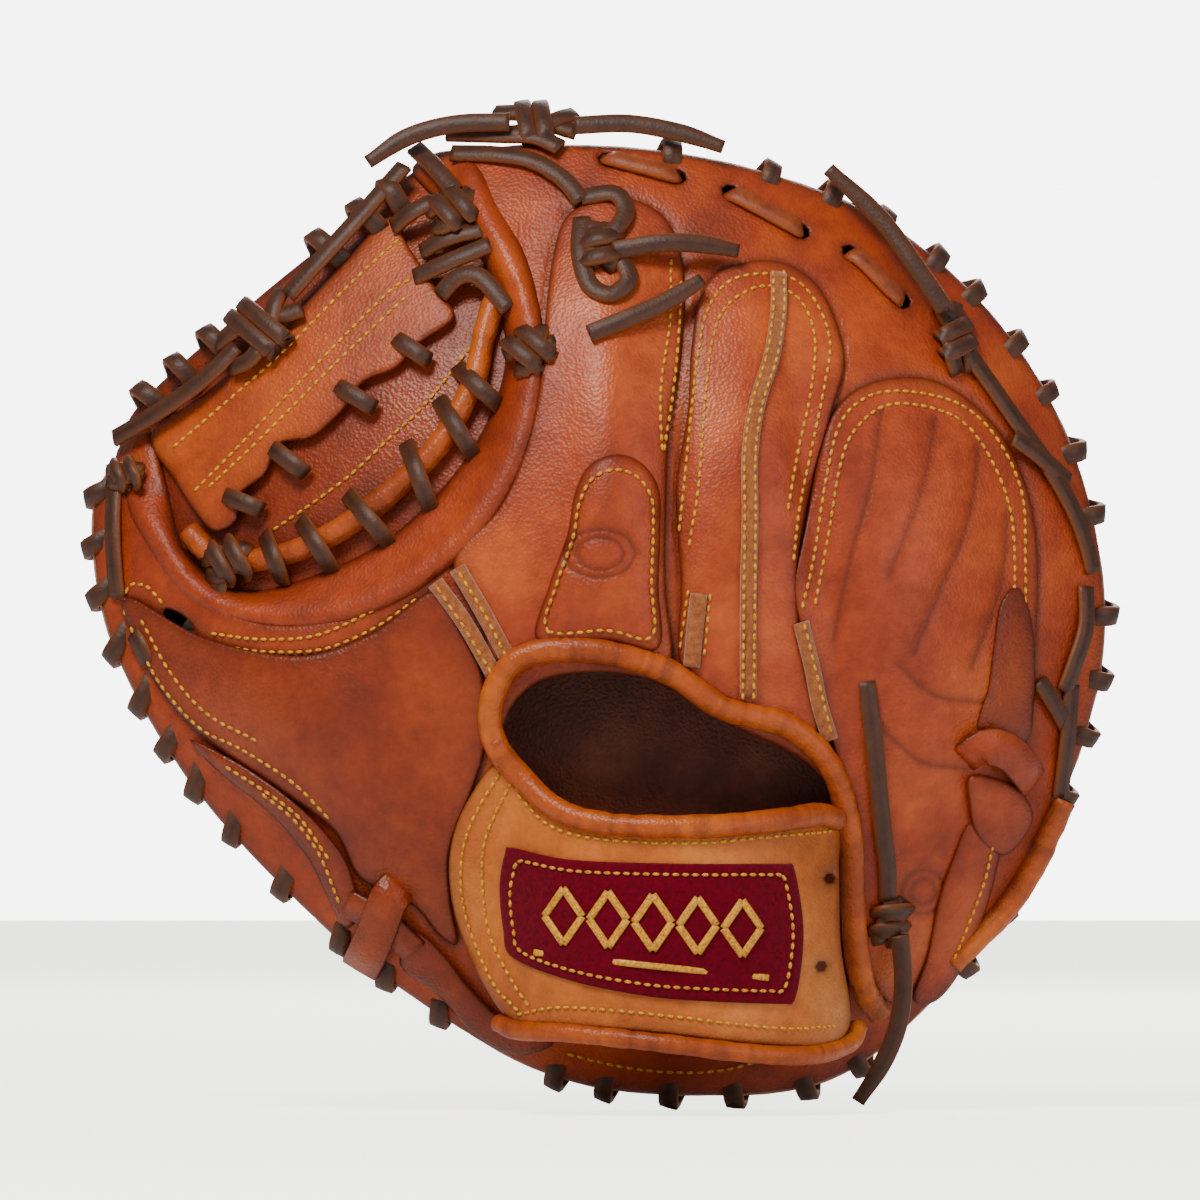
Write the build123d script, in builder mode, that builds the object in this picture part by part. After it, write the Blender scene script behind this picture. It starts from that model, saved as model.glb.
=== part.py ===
"""A baseball catcher's mitt, seen from its back: +X right, +Z to the finger tops, +Y to the pocket.

The origin is the middle of the mouth that the wrist goes through. The back is a dome of leather
panels, the palm is a padded bowl, and a two-piece web closes the gap between thumb and fingers.
Every leather piece is an outline in the XZ plan, cut from a spherical layer of the dome.
"""
import os
from math import radians, sqrt, tan

from build123d import *

os.makedirs("parts", exist_ok=True)

# ---- overall sizes, mm ----
mitt_width = 285.0  # across the laced edge, thumb side to little-finger side
mitt_height = 281.0  # heel lacing to the top lace knots
dome_radius = 200.0  # outer face of the back leather
back_depth = 34.0  # the dome's apex behind the origin
crest_depth = 50.0  # top of the padded rim on the palm side
bowl_depth = 36.0  # crest to the bottom of the pocket
bowl_mouth = 88.0  # radius of the pocket at its crest

# ---- leather, welt, lace and pad sizes ----
leather = 2.4
welt = 3.0
lining = 1.2
felt = 1.5
lace_width = 5.2
lace_thick = 2.0
suede_width = 4.6
suede_thick = 3.0
roll_width = 6.4  # bindings rolled round an edge
roll_thick = 5.0
edge_inset = 6.0  # lace holes in from the edge
lace_gap = 0.3  # round a lace in its hole and over a layer
fit_gap = 0.3  # between a pad and the leather round it
slot_depth = 24.0  # a punch's stroke through the edge
collar_thick = 8.0  # the web's collar and its binding roll
knot_rise = 7.0
wall_share = 0.92  # the palm wall's foot, as a share of the way out to the edge
crest_share = 0.80  # the palm wall draws in to this share at the crest
wall_taper = 0.02  # the palm leather's thickness in the wall, as a share
flange_share = 0.86  # the palm flange's inner edge
welt_share = 0.955  # the edge welt's inner edge

# ---- the fold between thumb and fingers ----
fold_heel = (-62.0, -2.0)
fold_web = (-112.0, 207.0)
fold_depth = 4.0  # the hinge line's place between back and palm
close_angle = 20.0
open_angle = 4.0
fold_gap = 0.6  # half the gap on the hinge line
web_gap = 4.0  # between the web's collar and the panels round it

# ---- the wrist strap and the mouth under it ----
strap_radius = 59.0
strap_crown = 45.0  # the strap's front behind the origin
strap_middle = -3.5
strap_leather = 2.6
liner_depth = 3.0  # the palm lining's face towards the pads

# ---- derived places ----
wide = mitt_width / 285.0
tall = mitt_height / 281.0
middle = (-22.0 * wide, 115.5 * tall)
dome_centre = (middle[0], dome_radius - back_depth, middle[1])
lay = dome_radius + lace_thick + 3 * lace_gap  # the layer that laces over the edge loops lie in
reach = 65.0  # half the depth of every through cut
cut_plane = Plane.XZ.offset(reach)
bowl_radius = (bowl_mouth**2 + bowl_depth**2) / (2 * bowl_depth)
bowl_centre = (middle[0], crest_depth - bowl_depth + bowl_radius, middle[1])


def plan(*points):
    """Plan points, stretched with the mitt's width and height."""
    return [(x * wide, z * tall) for x, z in points]


def drawn_in(points, share):
    """The same outline, drawn in towards the mitt's middle."""
    return [
        (middle[0] + (x - middle[0]) * share, middle[1] + (z - middle[1]) * share)
        for x, z in points
    ]


def set_out(points, gap):
    """The same outline, set out by a gap along its own normals (points run anticlockwise)."""
    moved = []
    for before, (x, z), after in zip(points[-1:] + points[:-1], points, points[1:] + points[:1]):
        run = Vector(after[0] - before[0], after[1] - before[1]).normalized()
        moved.append((x + gap * run.Y, z - gap * run.X))
    return moved


def dome_y(x, z, radius=dome_radius):
    """Depth of a dome layer at a place in the plan."""
    run = (x - middle[0]) ** 2 + (z - middle[1]) ** 2
    return dome_centre[1] - sqrt(radius**2 - run)


def outline(points, plane=cut_plane):
    """A smooth closed outline."""
    with BuildSketch(plane) as face:
        with BuildLine():
            Spline(*points, periodic=True)
        make_face()
    return face.sketch


def corners(points):
    """A straight-edged closed outline."""
    with BuildSketch(cut_plane) as face:
        with BuildLine():
            Polyline(*points, close=True)
        make_face()
    return face.sketch


def strip(points, width):
    """A band of one width along a line in the plan."""
    with BuildSketch(cut_plane) as face:
        with BuildLine():
            Polyline(*points)
        trace(line_width=width)
    return face.sketch


def through(face, mode=Mode.ADD):
    """Cuts or fills straight through the mitt, back to palm."""
    extrude(face, amount=-2 * reach, mode=mode)


def dome_layer(outer, inner):
    """Keeps what lies between two layers of the dome."""
    with Locations(dome_centre):
        Sphere(outer, mode=Mode.INTERSECT)
        Sphere(inner, mode=Mode.SUBTRACT)


def write(piece, name):
    """Labels a finished piece and writes it."""
    piece.part.label = name
    export_step(piece.part, f"parts/{name}.step")


# ---- outlines in the plan ----
edge_points = plan(
    (-22, 242), (18, 236), (56, 221), (87, 194), (107, 160), (116, 118), (111, 82),
    (95, 44), (72, 12), (44, -12), (6, -17), (-35, -10), (-74, 11), (-104, 36),
    (-134, 70), (-155, 108), (-159, 140), (-151, 168), (-128, 190), (-98, 216), (-62, 238),
)
silhouette = outline(edge_points)
web_points = plan(
    (-146, 150), (-146, 134), (-133, 119), (-115, 112), (-95, 113), (-75, 122), (-57, 137),
    (-45, 155), (-40, 178), (-42, 200), (-56, 222), (-80, 250), (-130, 250), (-175, 200), (-172, 160),
)
web_outline = outline(web_points)
web_window = outline(plan(
    (-139, 150), (-137, 134), (-126, 125), (-110, 123), (-95, 127), (-80, 137), (-65, 150),
    (-53, 168), (-48, 186), (-50, 204), (-63, 222), (-93, 206), (-121, 182), (-140, 165),
))
index_outline = outline(plan(
    (-30, 222), (-17, 226), (-6, 221), (-1, 205), (-2, 180), (-4, 150), (-3, 122), (-8, 106),
    (-25, 111), (-45, 110), (-58, 116), (-64, 126), (-50, 137), (-38, 155), (-33, 178), (-33, 202),
))
middle_outline = outline(plan(
    (0, 132), (1, 160), (5, 195), (14, 209), (30, 209), (42, 197), (43, 180), (36, 155),
    (31, 130), (30, 108), (25, 96), (14, 97), (4, 106),
))
pinky_outline = outline(plan(
    (34, 118), (39, 155), (46, 172), (64, 178), (84, 169), (96, 148), (99, 118), (96, 84),
    (86, 52), (70, 22), (58, 20), (53, 34), (52, 62), (44, 80), (36, 96),
))
opening_points = plan(
    (-49, 85), (-42, 95), (-30, 100), (-10, 97), (8, 86), (26, 80), (39, 67), (41, 60),
)
mouth = corners(opening_points + plan((47, 58), (47, 30), (49, -3), (-47, -3), (-48, 30), (-48, 66)))
hand_room = outline(plan(
    (-44, -30), (2, -34), (46, -30), (52, 20), (56, 70), (60, 120), (50, 165), (22, 192),
    (-14, 196), (-32, 170), (-48, 132), (-84, 128), (-118, 112), (-112, 88), (-74, 50), (-52, 20),
))

# ---- room for each side of the fold ----
fold_run = (fold_heel[0] - fold_web[0]) * wide, (fold_heel[1] - fold_web[1]) * tall
fold_length = sqrt(fold_run[0] ** 2 + fold_run[1] ** 2)
fold_axis = (fold_run[0] / fold_length, 0.0, fold_run[1] / fold_length)
fold_plane = Plane(
    origin=(fold_heel[0] * wide, fold_depth, fold_heel[1] * tall),
    x_dir=(-fold_axis[2], 0.0, fold_axis[0]),
    z_dir=fold_axis,
)
print("fold axis", [round(v, 5) for v in fold_axis], "through", fold_plane.origin)


def side_room(side):
    """The space that one side of the fold keeps to: +1 the fingers', -1 the thumb's."""
    far = 420.0
    palm_gap = fold_gap + far * tan(radians(close_angle / 2 + 0.6))
    back_gap = fold_gap + far * tan(radians(open_angle / 2 + 0.3))
    ring = [
        (side * fold_gap, 0), (side * palm_gap, -far), (side * 2 * far, -far),
        (side * 2 * far, far), (side * back_gap, far),
    ]
    with BuildPart() as room:
        with BuildSketch(fold_plane):
            with BuildLine():
                Polyline(*ring, close=True)
            make_face()
        extrude(amount=far, both=True)
    return room.part


finger_room = side_room(1)
thumb_room = side_room(-1)

web_clear = outline(set_out(web_points, web_gap))


# ---- lace stations round the edge ----
edge_line = Spline(*[(x, 0.0, z) for x, z in edge_points], periodic=True)
back_stack = (dome_radius, dome_radius - 2 * leather - welt)  # layers that an edge lace goes round
web_floor = dome_radius - collar_thick  # the collar's inner face
web_stack = (dome_radius, web_floor - leather)


def edge_share(x, z):
    """How far round the edge its nearest place to a plan point is."""
    tries = [i / 800 for i in range(800)]
    return min(tries, key=lambda share: (edge_line.position_at(share) - Vector(x, 0, z)).length)


def stations(first, last, count):
    """Evenly spaced planes on the edge, clockwise: x outwards, y out of the back."""
    start, end = [edge_share(x, z) for x, z in plan(first, last)]
    run = (end - start) % 1.0
    places = []
    for i in range(count):
        share = (start + run * i / (count - 1)) % 1.0
        along = edge_line.tangent_at(share)
        out = Vector(-along.Z, 0, along.X)
        at = edge_line.position_at(share) - along * (lace_width / 2)
        places.append(Plane(origin=at, x_dir=out, z_dir=along))
    return places


def hoop(place, near, far, outer, inner):
    """The four-cornered section of a loop round the edge, between two layers of the dome."""
    ring = []
    for offset, radius, pick in ((near, outer, max), (far, outer, max), (far, inner, min),
                                 (near, inner, min)):
        sides = [place.origin + place.x_dir * offset + place.z_dir * s for s in (0, lace_width)]
        ring.append((offset, pick(-dome_y(at.X, at.Z, radius) for at in sides)))
    with BuildSketch(place) as face:
        with BuildLine():
            Polyline(*ring, close=True)
        make_face()
    return face.sketch


def lace_loops(places, stack):
    """Closed loops of lace round the edge, one at each station."""
    outer, inner = stack[0] + lace_gap, stack[1] - lace_gap
    for place in places:
        extrude(
            hoop(place, -edge_inset - lace_thick, lace_gap + lace_thick, outer + lace_thick,
                 inner - lace_thick), amount=lace_width)
        extrude(hoop(place, -edge_inset, lace_gap, outer, inner), amount=lace_width,
                mode=Mode.SUBTRACT)


def punched(places):
    """Slots through the leather for edge laces, one at each station."""
    with BuildPart() as slots:
        for place in places:
            wider = place.offset(-lace_gap)
            ring = hoop(wider, -edge_inset - lace_thick - lace_gap, lace_gap - edge_inset,
                        dome_radius + slot_depth, dome_radius - slot_depth)
            extrude(ring, amount=lace_width + 2 * lace_gap)
    return slots.part


def on_back(x, z, radius=None):
    """A plane lying on a layer of the back: x to the right, z out of the back."""
    x, z = plan((x, z))[0]
    radius = lay if radius is None else radius
    up = (Vector(x, dome_y(x, z, radius), z) - Vector(*dome_centre)).normalized()
    side = (Vector(1, 0, 0) - up * up.X).normalized()
    return Plane(origin=Vector(*dome_centre) + up * radius, x_dir=side, z_dir=up)


def knot(x, z, width, height, radius=None):
    """A lace or thong knot: a rounded lump standing on a layer of the back."""
    with Locations(on_back(x, z, radius)):
        lump = Box(width, height, knot_rise, align=(Align.CENTER, Align.CENTER, Align.MIN))
    fillet(lump.edges(), knot_rise / 3)


def lace_end(points):
    """A free end of lace: straight runs joined by the largest tangent arcs that they allow."""
    line = [Vector(*p) for p in points]
    radii = []
    for before, at, after in zip(line, line[1:], line[2:]):
        turn = radians((at - before).get_angle(after - at))
        shorter = min((at - before).length, (after - at).length)
        radii.append(0.45 * shorter / tan(turn / 2))
    with BuildPart() as end:
        with BuildLine() as route:
            FilletPolyline(*line, radius=radii)
        path = route.line
        with BuildSketch(Plane(origin=path @ 0, z_dir=path % 0)):
            Circle(lace_width / 2)
        sweep(path=path)
    length = sum(edge.length for edge in path.edges())
    print("lace end", round(length, 1), "mm, radii", [round(r, 1) for r in radii])
    return end


finger_stations = stations((20, 236), (84, 26), 16)
heel_stations = stations((46, -11), (-32, -10), 6)
thumb_stations = stations((-73, 10), (-158, 138), 11)
web_stations = stations((-147, 172), (-76, 231), 7)
finger_slots = punched(finger_stations)
heel_slots = punched(heel_stations)
thumb_slots = punched(thumb_stations)
web_slots = punched(web_stations)


def trim_fingers(*slots):
    """Keeps the fingers' side of the fold, clear of the web and of its lace slots."""
    add(finger_room, mode=Mode.INTERSECT)
    through(web_clear, Mode.SUBTRACT)
    for cut in slots:
        add(cut, mode=Mode.SUBTRACT)


def trim_thumb():
    """Keeps the thumb's side of the fold, clear of the web and of its lace slots."""
    add(thumb_room, mode=Mode.INTERSECT)
    through(web_clear, Mode.SUBTRACT)
    add(thumb_slots, mode=Mode.SUBTRACT)


def back_leather():
    """Keeps the back's own layer of leather."""
    dome_layer(dome_radius, dome_radius - leather)


# ---- back panels ----
heel_zone = corners(plan((-120, -3), (49, -3), (62, 6), (90, -60), (-120, -60)))
gusset_zone = corners(plan((-150, -3), (-44, -3), (-44, 130), (-150, 130)))
binding_line = plan(
    (45, 63), (42, 72), (35, 80), (22, 86), (7, 91), (-8, 99), (-28, 104), (-43, 102), (-51, 92),
    (-52, 83), (-47, 73),
)
binding_face = strip(binding_line, roll_width)

with BuildPart() as finger_back_band:
    through(silhouette)
    for face in (mouth, binding_face, index_outline, middle_outline, pinky_outline, heel_zone,
                 gusset_zone):
        through(face, Mode.SUBTRACT)
    back_leather()
    trim_fingers(finger_slots)
write(finger_back_band, "finger_back_band")

with BuildPart() as index_panel:
    through(index_outline)
    for face in (mouth, binding_face, middle_outline):
        through(face, Mode.SUBTRACT)
    back_leather()
    trim_fingers()
write(index_panel, "index_panel")

with BuildPart() as middle_ring_panel:
    through(middle_outline)
    for face in (mouth, binding_face):
        through(face, Mode.SUBTRACT)
    back_leather()
write(middle_ring_panel, "middle_ring_panel")

with BuildPart() as pinky_panel:
    through(pinky_outline)
    through(silhouette, Mode.INTERSECT)
    for face in (mouth, binding_face, middle_outline):
        through(face, Mode.SUBTRACT)
    back_leather()
    add(finger_slots, mode=Mode.SUBTRACT)
write(pinky_panel, "pinky_panel")

with BuildPart() as thumb_gusset:
    through(silhouette)
    through(gusset_zone, Mode.INTERSECT)
    for face in (mouth, binding_face, index_outline):
        through(face, Mode.SUBTRACT)
    back_leather()
    trim_fingers()
write(thumb_gusset, "thumb_gusset")

with BuildPart() as heel_facing:
    through(silhouette)
    through(heel_zone, Mode.INTERSECT)
    back_leather()
    trim_fingers(finger_slots, heel_slots)
write(heel_facing, "heel_facing")

with BuildPart() as thumb_panel:
    through(silhouette)
    back_leather()
    trim_thumb()
write(thumb_panel, "thumb_panel")

# ---- patches and welts sewn on the back ----
index_pad_face = outline(plan(
    (-38, 110), (-32, 134), (-28, 150), (-18, 157), (-9, 154), (-6, 140), (-6, 108), (-22, 112),
))
with BuildPart() as index_pad:
    through(index_pad_face)
    dome_layer(dome_radius + leather, dome_radius)
write(index_pad, "index_pad")

with BuildPart() as finger_welt:
    through(strip(plan((27, 206), (26, 190), (21, 172), (19, 155), (18.5, 96)), suede_width))
    dome_layer(dome_radius + suede_thick, dome_radius)
write(finger_welt, "finger_welt")

with BuildPart() as short_welts:
    for line in (((4, 120), (2, 104)), ((34, 109), (36, 98), (38, 87)),
                 ((-66, 121), (-58, 108)), ((-60, 125), (-53, 112))):
        through(strip(plan(*line), suede_width - 1))
    dome_layer(dome_radius + suede_thick, dome_radius)
write(short_welts, "short_welts")

with BuildPart() as opening_binding:
    through(binding_face)
    dome_layer(dome_radius + roll_thick / 2, dome_radius - leather - roll_thick / 2)
write(opening_binding, "opening_binding")

with BuildPart() as finger_lining:
    through(hand_room)
    through(corners(plan((-60, 112), (60, 112), (60, 230), (-60, 230))), Mode.INTERSECT)
    dome_layer(dome_radius - leather, dome_radius - leather - lining)
    trim_fingers()
write(finger_lining, "finger_lining")

# ---- edge welts ----
for side_name in ("finger", "thumb"):
    with BuildPart() as edge_welt:
        through(silhouette)
        through(outline(drawn_in(edge_points, welt_share)), Mode.SUBTRACT)
        dome_layer(dome_radius - leather, dome_radius - leather - welt)
        if side_name == "finger":
            trim_fingers(finger_slots, heel_slots)
        else:
            trim_thumb()
    write(edge_welt, f"{side_name}_edge_welt")


# ---- palm leather and the pads under it ----
def palm_block(foot, crest, drop):
    """The padded rim's body: its wall draws in to the crest and the pocket's bowl is cut out."""
    with BuildPart() as block:
        with BuildSketch(Plane.XZ):
            with BuildLine():
                Spline(*drawn_in(edge_points, foot), periodic=True)
            make_face()
        with BuildSketch(Plane.XZ.offset(drop - crest_depth)):
            with BuildLine():
                Spline(*drawn_in(edge_points, crest), periodic=True)
            make_face()
        loft(ruled=True)
        with Locations(bowl_centre):
            Sphere(bowl_radius + drop, mode=Mode.SUBTRACT)
    return block.part


palm_outside = palm_block(wall_share, crest_share, 0.0)
palm_inside = palm_block(wall_share - wall_taper, crest_share - wall_taper, leather)
pad_drop = leather + fit_gap
pad_taper = wall_taper + 0.005
pad_block = palm_block(wall_share - pad_taper, crest_share - pad_taper, pad_drop)
flange = dome_radius - leather - welt  # the palm leather's outer face at the edge
pad_floor = flange - 2 * leather

with BuildPart() as flange_ring:
    through(silhouette)
    through(outline(drawn_in(edge_points, flange_share)), Mode.SUBTRACT)
    dome_layer(flange, flange - leather)
palm_flange = flange_ring.part

for side_name in ("finger", "thumb"):
    with BuildPart() as palm_leather:
        add(palm_outside)
        add(palm_inside, mode=Mode.SUBTRACT)
        with Locations(dome_centre):
            Sphere(flange, mode=Mode.INTERSECT)
        add(palm_flange)
        if side_name == "finger":
            trim_fingers(finger_slots, heel_slots)
        else:
            trim_thumb()
    write(palm_leather, f"{side_name}_palm_leather")

hand_cut_depth = reach + liner_depth
pad_split = 60.0 * tall
for name in ("finger_pad", "heel_pad", "thumb_pad"):
    with BuildPart() as pad:
        add(pad_block)
        with Locations(dome_centre):
            Sphere(pad_floor, mode=Mode.INTERSECT)
        extrude(hand_room, amount=-hand_cut_depth, mode=Mode.SUBTRACT)
        if name == "thumb_pad":
            trim_thumb()
        else:
            trim_fingers(finger_slots, heel_slots)
            keep = Keep.TOP if name == "finger_pad" else Keep.BOTTOM
            split(bisect_by=Plane.XY.offset(pad_split), keep=keep)
    write(pad, name)

with BuildPart() as palm_liner:
    through(hand_room)
    through(outline(drawn_in(edge_points, flange_share)), Mode.INTERSECT)
    split(bisect_by=Plane.XZ.offset(-liner_depth), keep=Keep.TOP)
    split(bisect_by=Plane.XZ.offset(lining - liner_depth), keep=Keep.BOTTOM)
    with Locations(dome_centre):
        Sphere(dome_radius - leather - fit_gap, mode=Mode.INTERSECT)
    trim_fingers()
write(palm_liner, "palm_liner")

# ---- the wrist strap over the mouth ----
strap_axis_y = strap_radius - strap_crown
strap_low, strap_high = 4.0 * tall, 55.0 * tall


def arch(low, high, outer, inner):
    """A strap arched over the wrist: a round shell between two heights, down to the back leather."""
    with BuildSketch(Plane.XY.offset(low)) as ring:
        with Locations((strap_middle * wide, strap_axis_y)):
            Circle(outer)
            Circle(inner, mode=Mode.SUBTRACT)
    extrude(ring.sketch, amount=high - low)
    split(bisect_by=Plane.XZ.offset(-fold_depth), keep=Keep.TOP)
    with Locations(dome_centre):
        Sphere(dome_radius, mode=Mode.SUBTRACT)


with BuildPart() as wrist_strap:
    arch(strap_low, strap_high, strap_radius, strap_radius - strap_leather)
write(wrist_strap, "wrist_strap")

with BuildPart() as strap_top_roll:
    arch(strap_high, strap_high + roll_width, strap_radius + 1, strap_radius + 1 - roll_thick)
    through(binding_face, Mode.SUBTRACT)
write(strap_top_roll, "strap_top_roll")

with BuildPart() as strap_bottom_roll:
    arch(strap_low - roll_width, strap_low, strap_radius + 1, strap_radius + 1 - roll_thick)
write(strap_bottom_roll, "strap_bottom_roll")

with BuildPart() as strap_patch:
    arch(strap_low, strap_high, strap_radius + felt, strap_radius)
    through(corners(plan((-46, 50), (-30, 47), (30, 46), (34, 28), (30, 8), (-10, 10), (-45, 20), (-48, 38))),
            Mode.INTERSECT)
write(strap_patch, "strap_patch")

# ---- the web ----


def trim_web():
    """Keeps what lies inside the laced edge, with the web's own lace slots."""
    through(silhouette, Mode.INTERSECT)
    add(web_slots, mode=Mode.SUBTRACT)


with BuildPart() as web_collar:
    through(web_outline)
    through(web_window, Mode.SUBTRACT)
    dome_layer(dome_radius, web_floor)
    trim_web()
write(web_collar, "web_collar")

with BuildPart() as web_lower_panel:
    through(web_outline)
    dome_layer(web_floor, web_floor - leather)
    trim_web()
write(web_lower_panel, "web_lower_panel")

upper_line = plan(
    (-141, 159), (-128, 172), (-108, 190), (-88, 209), (-73, 216), (-63, 203), (-72, 188),
    (-84, 180), (-94, 170), (-105, 160), (-116, 150), (-122, 141), (-131, 141),
)
roll_line = plan(
    (-53, 197), (-55, 182), (-62, 167), (-72, 154), (-85, 143), (-100, 134), (-115, 129), (-129, 132),
)
roll_face = strip(roll_line, roll_width)
with BuildPart() as web_binding_roll:
    through(roll_face)
    through(web_window, Mode.INTERSECT)
    dome_layer(dome_radius - leather, web_floor)
write(web_binding_roll, "web_binding_roll")

with BuildPart() as web_upper_panel:
    through(corners(upper_line))
    through(web_window, Mode.INTERSECT)
    through(roll_face, Mode.SUBTRACT)
    dome_layer(web_floor + leather, web_floor)
write(web_upper_panel, "web_upper_panel")

slot_laces = (
    ((-79, 191), (-69, 184)), ((-94, 178), (-84, 171)), ((-112, 161), (-103, 153)),
    ((-125, 148), (-116, 143)),
)
with BuildPart() as web_slot_lacing:
    for line in slot_laces:
        through(strip(plan(*line), lace_width))
    through(corners(upper_line), Mode.INTERSECT)
    through(roll_face, Mode.SUBTRACT)
    dome_layer(web_floor + leather + lace_thick, web_floor + leather)
write(web_slot_lacing, "web_slot_lacing")

roll_laces = (
    ((-61, 182), (-49, 170)), ((-66, 172), (-56, 157)), ((-75, 161), (-68, 142)),
    ((-90, 148), (-80, 132)), ((-103, 141), (-96, 125)), ((-113, 138), (-110, 121)),
)
with BuildPart() as web_roll_lacing:
    for line in roll_laces:
        through(strip(plan(*line), lace_width))
    through(roll_face, Mode.INTERSECT)
    dome_layer(dome_radius - leather + lace_thick, dome_radius - leather)
write(web_roll_lacing, "web_roll_lacing")

with BuildPart() as web_edge_lacing:
    lace_loops(web_stations, web_stack)
write(web_edge_lacing, "web_edge_lacing")

with BuildPart() as web_edge_knot:
    knot(-112, 192, 24, 16)
write(web_edge_knot, "web_edge_knot")

with BuildPart() as web_tie_knot:
    knot(-61, 226, 13, 11)
write(web_tie_knot, "web_tie_knot")

with BuildPart() as web_lace_knot:
    knot(-127, 124, 9, 10)
write(web_lace_knot, "web_lace_knot")

# ---- edge lacing, slot laces and laces lying over the back ----
with BuildPart() as finger_edge_lacing:
    lace_loops(finger_stations, back_stack)
write(finger_edge_lacing, "finger_edge_lacing")

with BuildPart() as heel_lacing:
    lace_loops(heel_stations, back_stack)
write(heel_lacing, "heel_lacing")

with BuildPart() as thumb_edge_lacing:
    lace_loops(thumb_stations, back_stack)
write(thumb_edge_lacing, "thumb_edge_lacing")

with BuildPart() as top_slot_lacing:
    for line in (((-20, 229), (-2, 225)), ((13, 223), (30, 214)), ((45, 205), (57, 195))):
        through(strip(plan(*line), lace_width))
    dome_layer(dome_radius + lace_thick, dome_radius)
    through(outline(drawn_in(edge_points, welt_share)), Mode.INTERSECT)
write(top_slot_lacing, "top_slot_lacing")


def surface_lace(points, thick=lace_thick, width=lace_width):
    """A lace or thong lying on the back, clear of the edge loops under it."""
    through(strip(plan(*points), width))
    dome_layer(lay + thick, lay)


with BuildPart() as side_lace:
    surface_lace(((79, 186), (90, 168), (99, 146), (103, 128), (104, 112), (103, 94), (101, 78)))
write(side_lace, "side_lace")

with BuildPart() as side_lace_knot:
    knot(76, 190, 9, 18, lay + lace_thick)
write(side_lace_knot, "side_lace_knot")

with BuildPart() as wrist_lace:
    surface_lace(((54, 95), (57, 75), (59, 55), (60, 38)))
write(wrist_lace, "wrist_lace")

with BuildPart() as wrist_lace_knot:
    knot(60, 31, 9, 12)
write(wrist_lace_knot, "wrist_lace_knot")

with BuildPart() as thumb_side_lace:
    surface_lace(((-144, 116), (-142, 105), (-137, 95)))
write(thumb_side_lace, "thumb_side_lace")

with BuildPart() as crotch_tie_lace:
    surface_lace(((-49, 241), (-39, 239), (-31, 234), (-26, 227)))
write(crotch_tie_lace, "crotch_tie_lace")

with BuildPart() as top_lace_knot:
    knot(-38, 249, 20, 9, lay + lace_thick)
write(top_lace_knot, "top_lace_knot")

with BuildPart() as crotch_lace_knot:
    knot(-24, 213, 12, 24)
write(crotch_lace_knot, "crotch_lace_knot")

with BuildPart() as index_lace_knot:
    knot(-29, 189, 9, 12)
write(index_lace_knot, "index_lace_knot")

# ---- free lace ends: routes chosen by hand, from the knot outwards ----
lace_routes = {
    "top_lace_end_left": ((-47, 12, 250), (-62, 14.5, 249.5), (-75, 15.5, 246), (-86, 14, 239)),
    "top_lace_end_right": ((-29, 9, 249), (-14, 9.5, 249.5), (0, 9, 247), (12, 8, 243)),
    "crotch_lace_end": ((-18.5, -14, 214), (-6, -14.5, 216), (5, -13, 216), (16, -11, 214)),
    "index_lace_end": ((-25, -25.5, 191), (-14, -24, 195.5), (-4, -21, 200), (6, -17.5, 206)),
    "side_lace_end": ((73, 1.5, 198), (65, 3.5, 210), (55, 7, 223.5), (41, 10, 237)),
    "wrist_lace_end": ((60.5, 0, 26), (61.5, 4, 13), (60, 7, 1), (55.5, 8.5, -10), (49, 9, -20)),
}
for name, route in lace_routes.items():
    end = lace_end([(x * wide, y, z * tall) for x, y, z in route])
    write(end, name)

# ---- the thongs at the two heel breaks ----
thong_thick = leather
upper_strand = plan(
    (-129, 80), (-112, 71), (-100, 62), (-92, 52), (-86, 38), (-88, 33), (-94, 41), (-104, 57),
    (-121, 73),
)
lower_strand = plan(
    (-74, 26), (-66, 18), (-58, 6), (-50, -4), (-38, -8), (-38, -14), (-52, -11), (-62, -2),
    (-70, 9), (-78, 18),
)
with BuildPart() as thumb_strap:
    for line in (upper_strand, lower_strand):
        through(corners(line))
    dome_layer(lay + thong_thick, lay)
    add(thumb_room, mode=Mode.INTERSECT)
write(thumb_strap, "thumb_strap")

with BuildPart() as thumb_strap_knot:
    knot(-82, 29, 14, 16, lay + thong_thick)
write(thumb_strap_knot, "thumb_strap_knot")

with BuildPart() as pinky_strap:
    through(corners(plan((92, 120), (86, 105), (82, 84), (94, 80), (98, 95), (97, 112))))
    through(corners(plan((80, 57), (72, 45), (66, 25), (62, 15), (68, 17), (76, 30), (82, 52))))
    dome_layer(lay + thong_thick, lay)
write(pinky_strap, "pinky_strap")

with BuildPart() as pinky_strap_knot:
    knot(88, 69, 17, 20)
write(pinky_strap_knot, "pinky_strap_knot")
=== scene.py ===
"""A baseball catcher's mitt in oiled steerhide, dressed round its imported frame.

Plan points are in millimetres: x to the right, z up to the finger tops, seen from the back of the
mitt. Depth y grows towards the pocket. Every mesh is written in metres, in the frame's own axes.
"""

import logging
import math
from dataclasses import dataclass, field
from enum import Enum
from typing import Callable, Iterable, Sequence

import bpy
import numpy as np
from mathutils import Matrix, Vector
from mathutils.geometry import delaunay_2d_cdt


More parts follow.
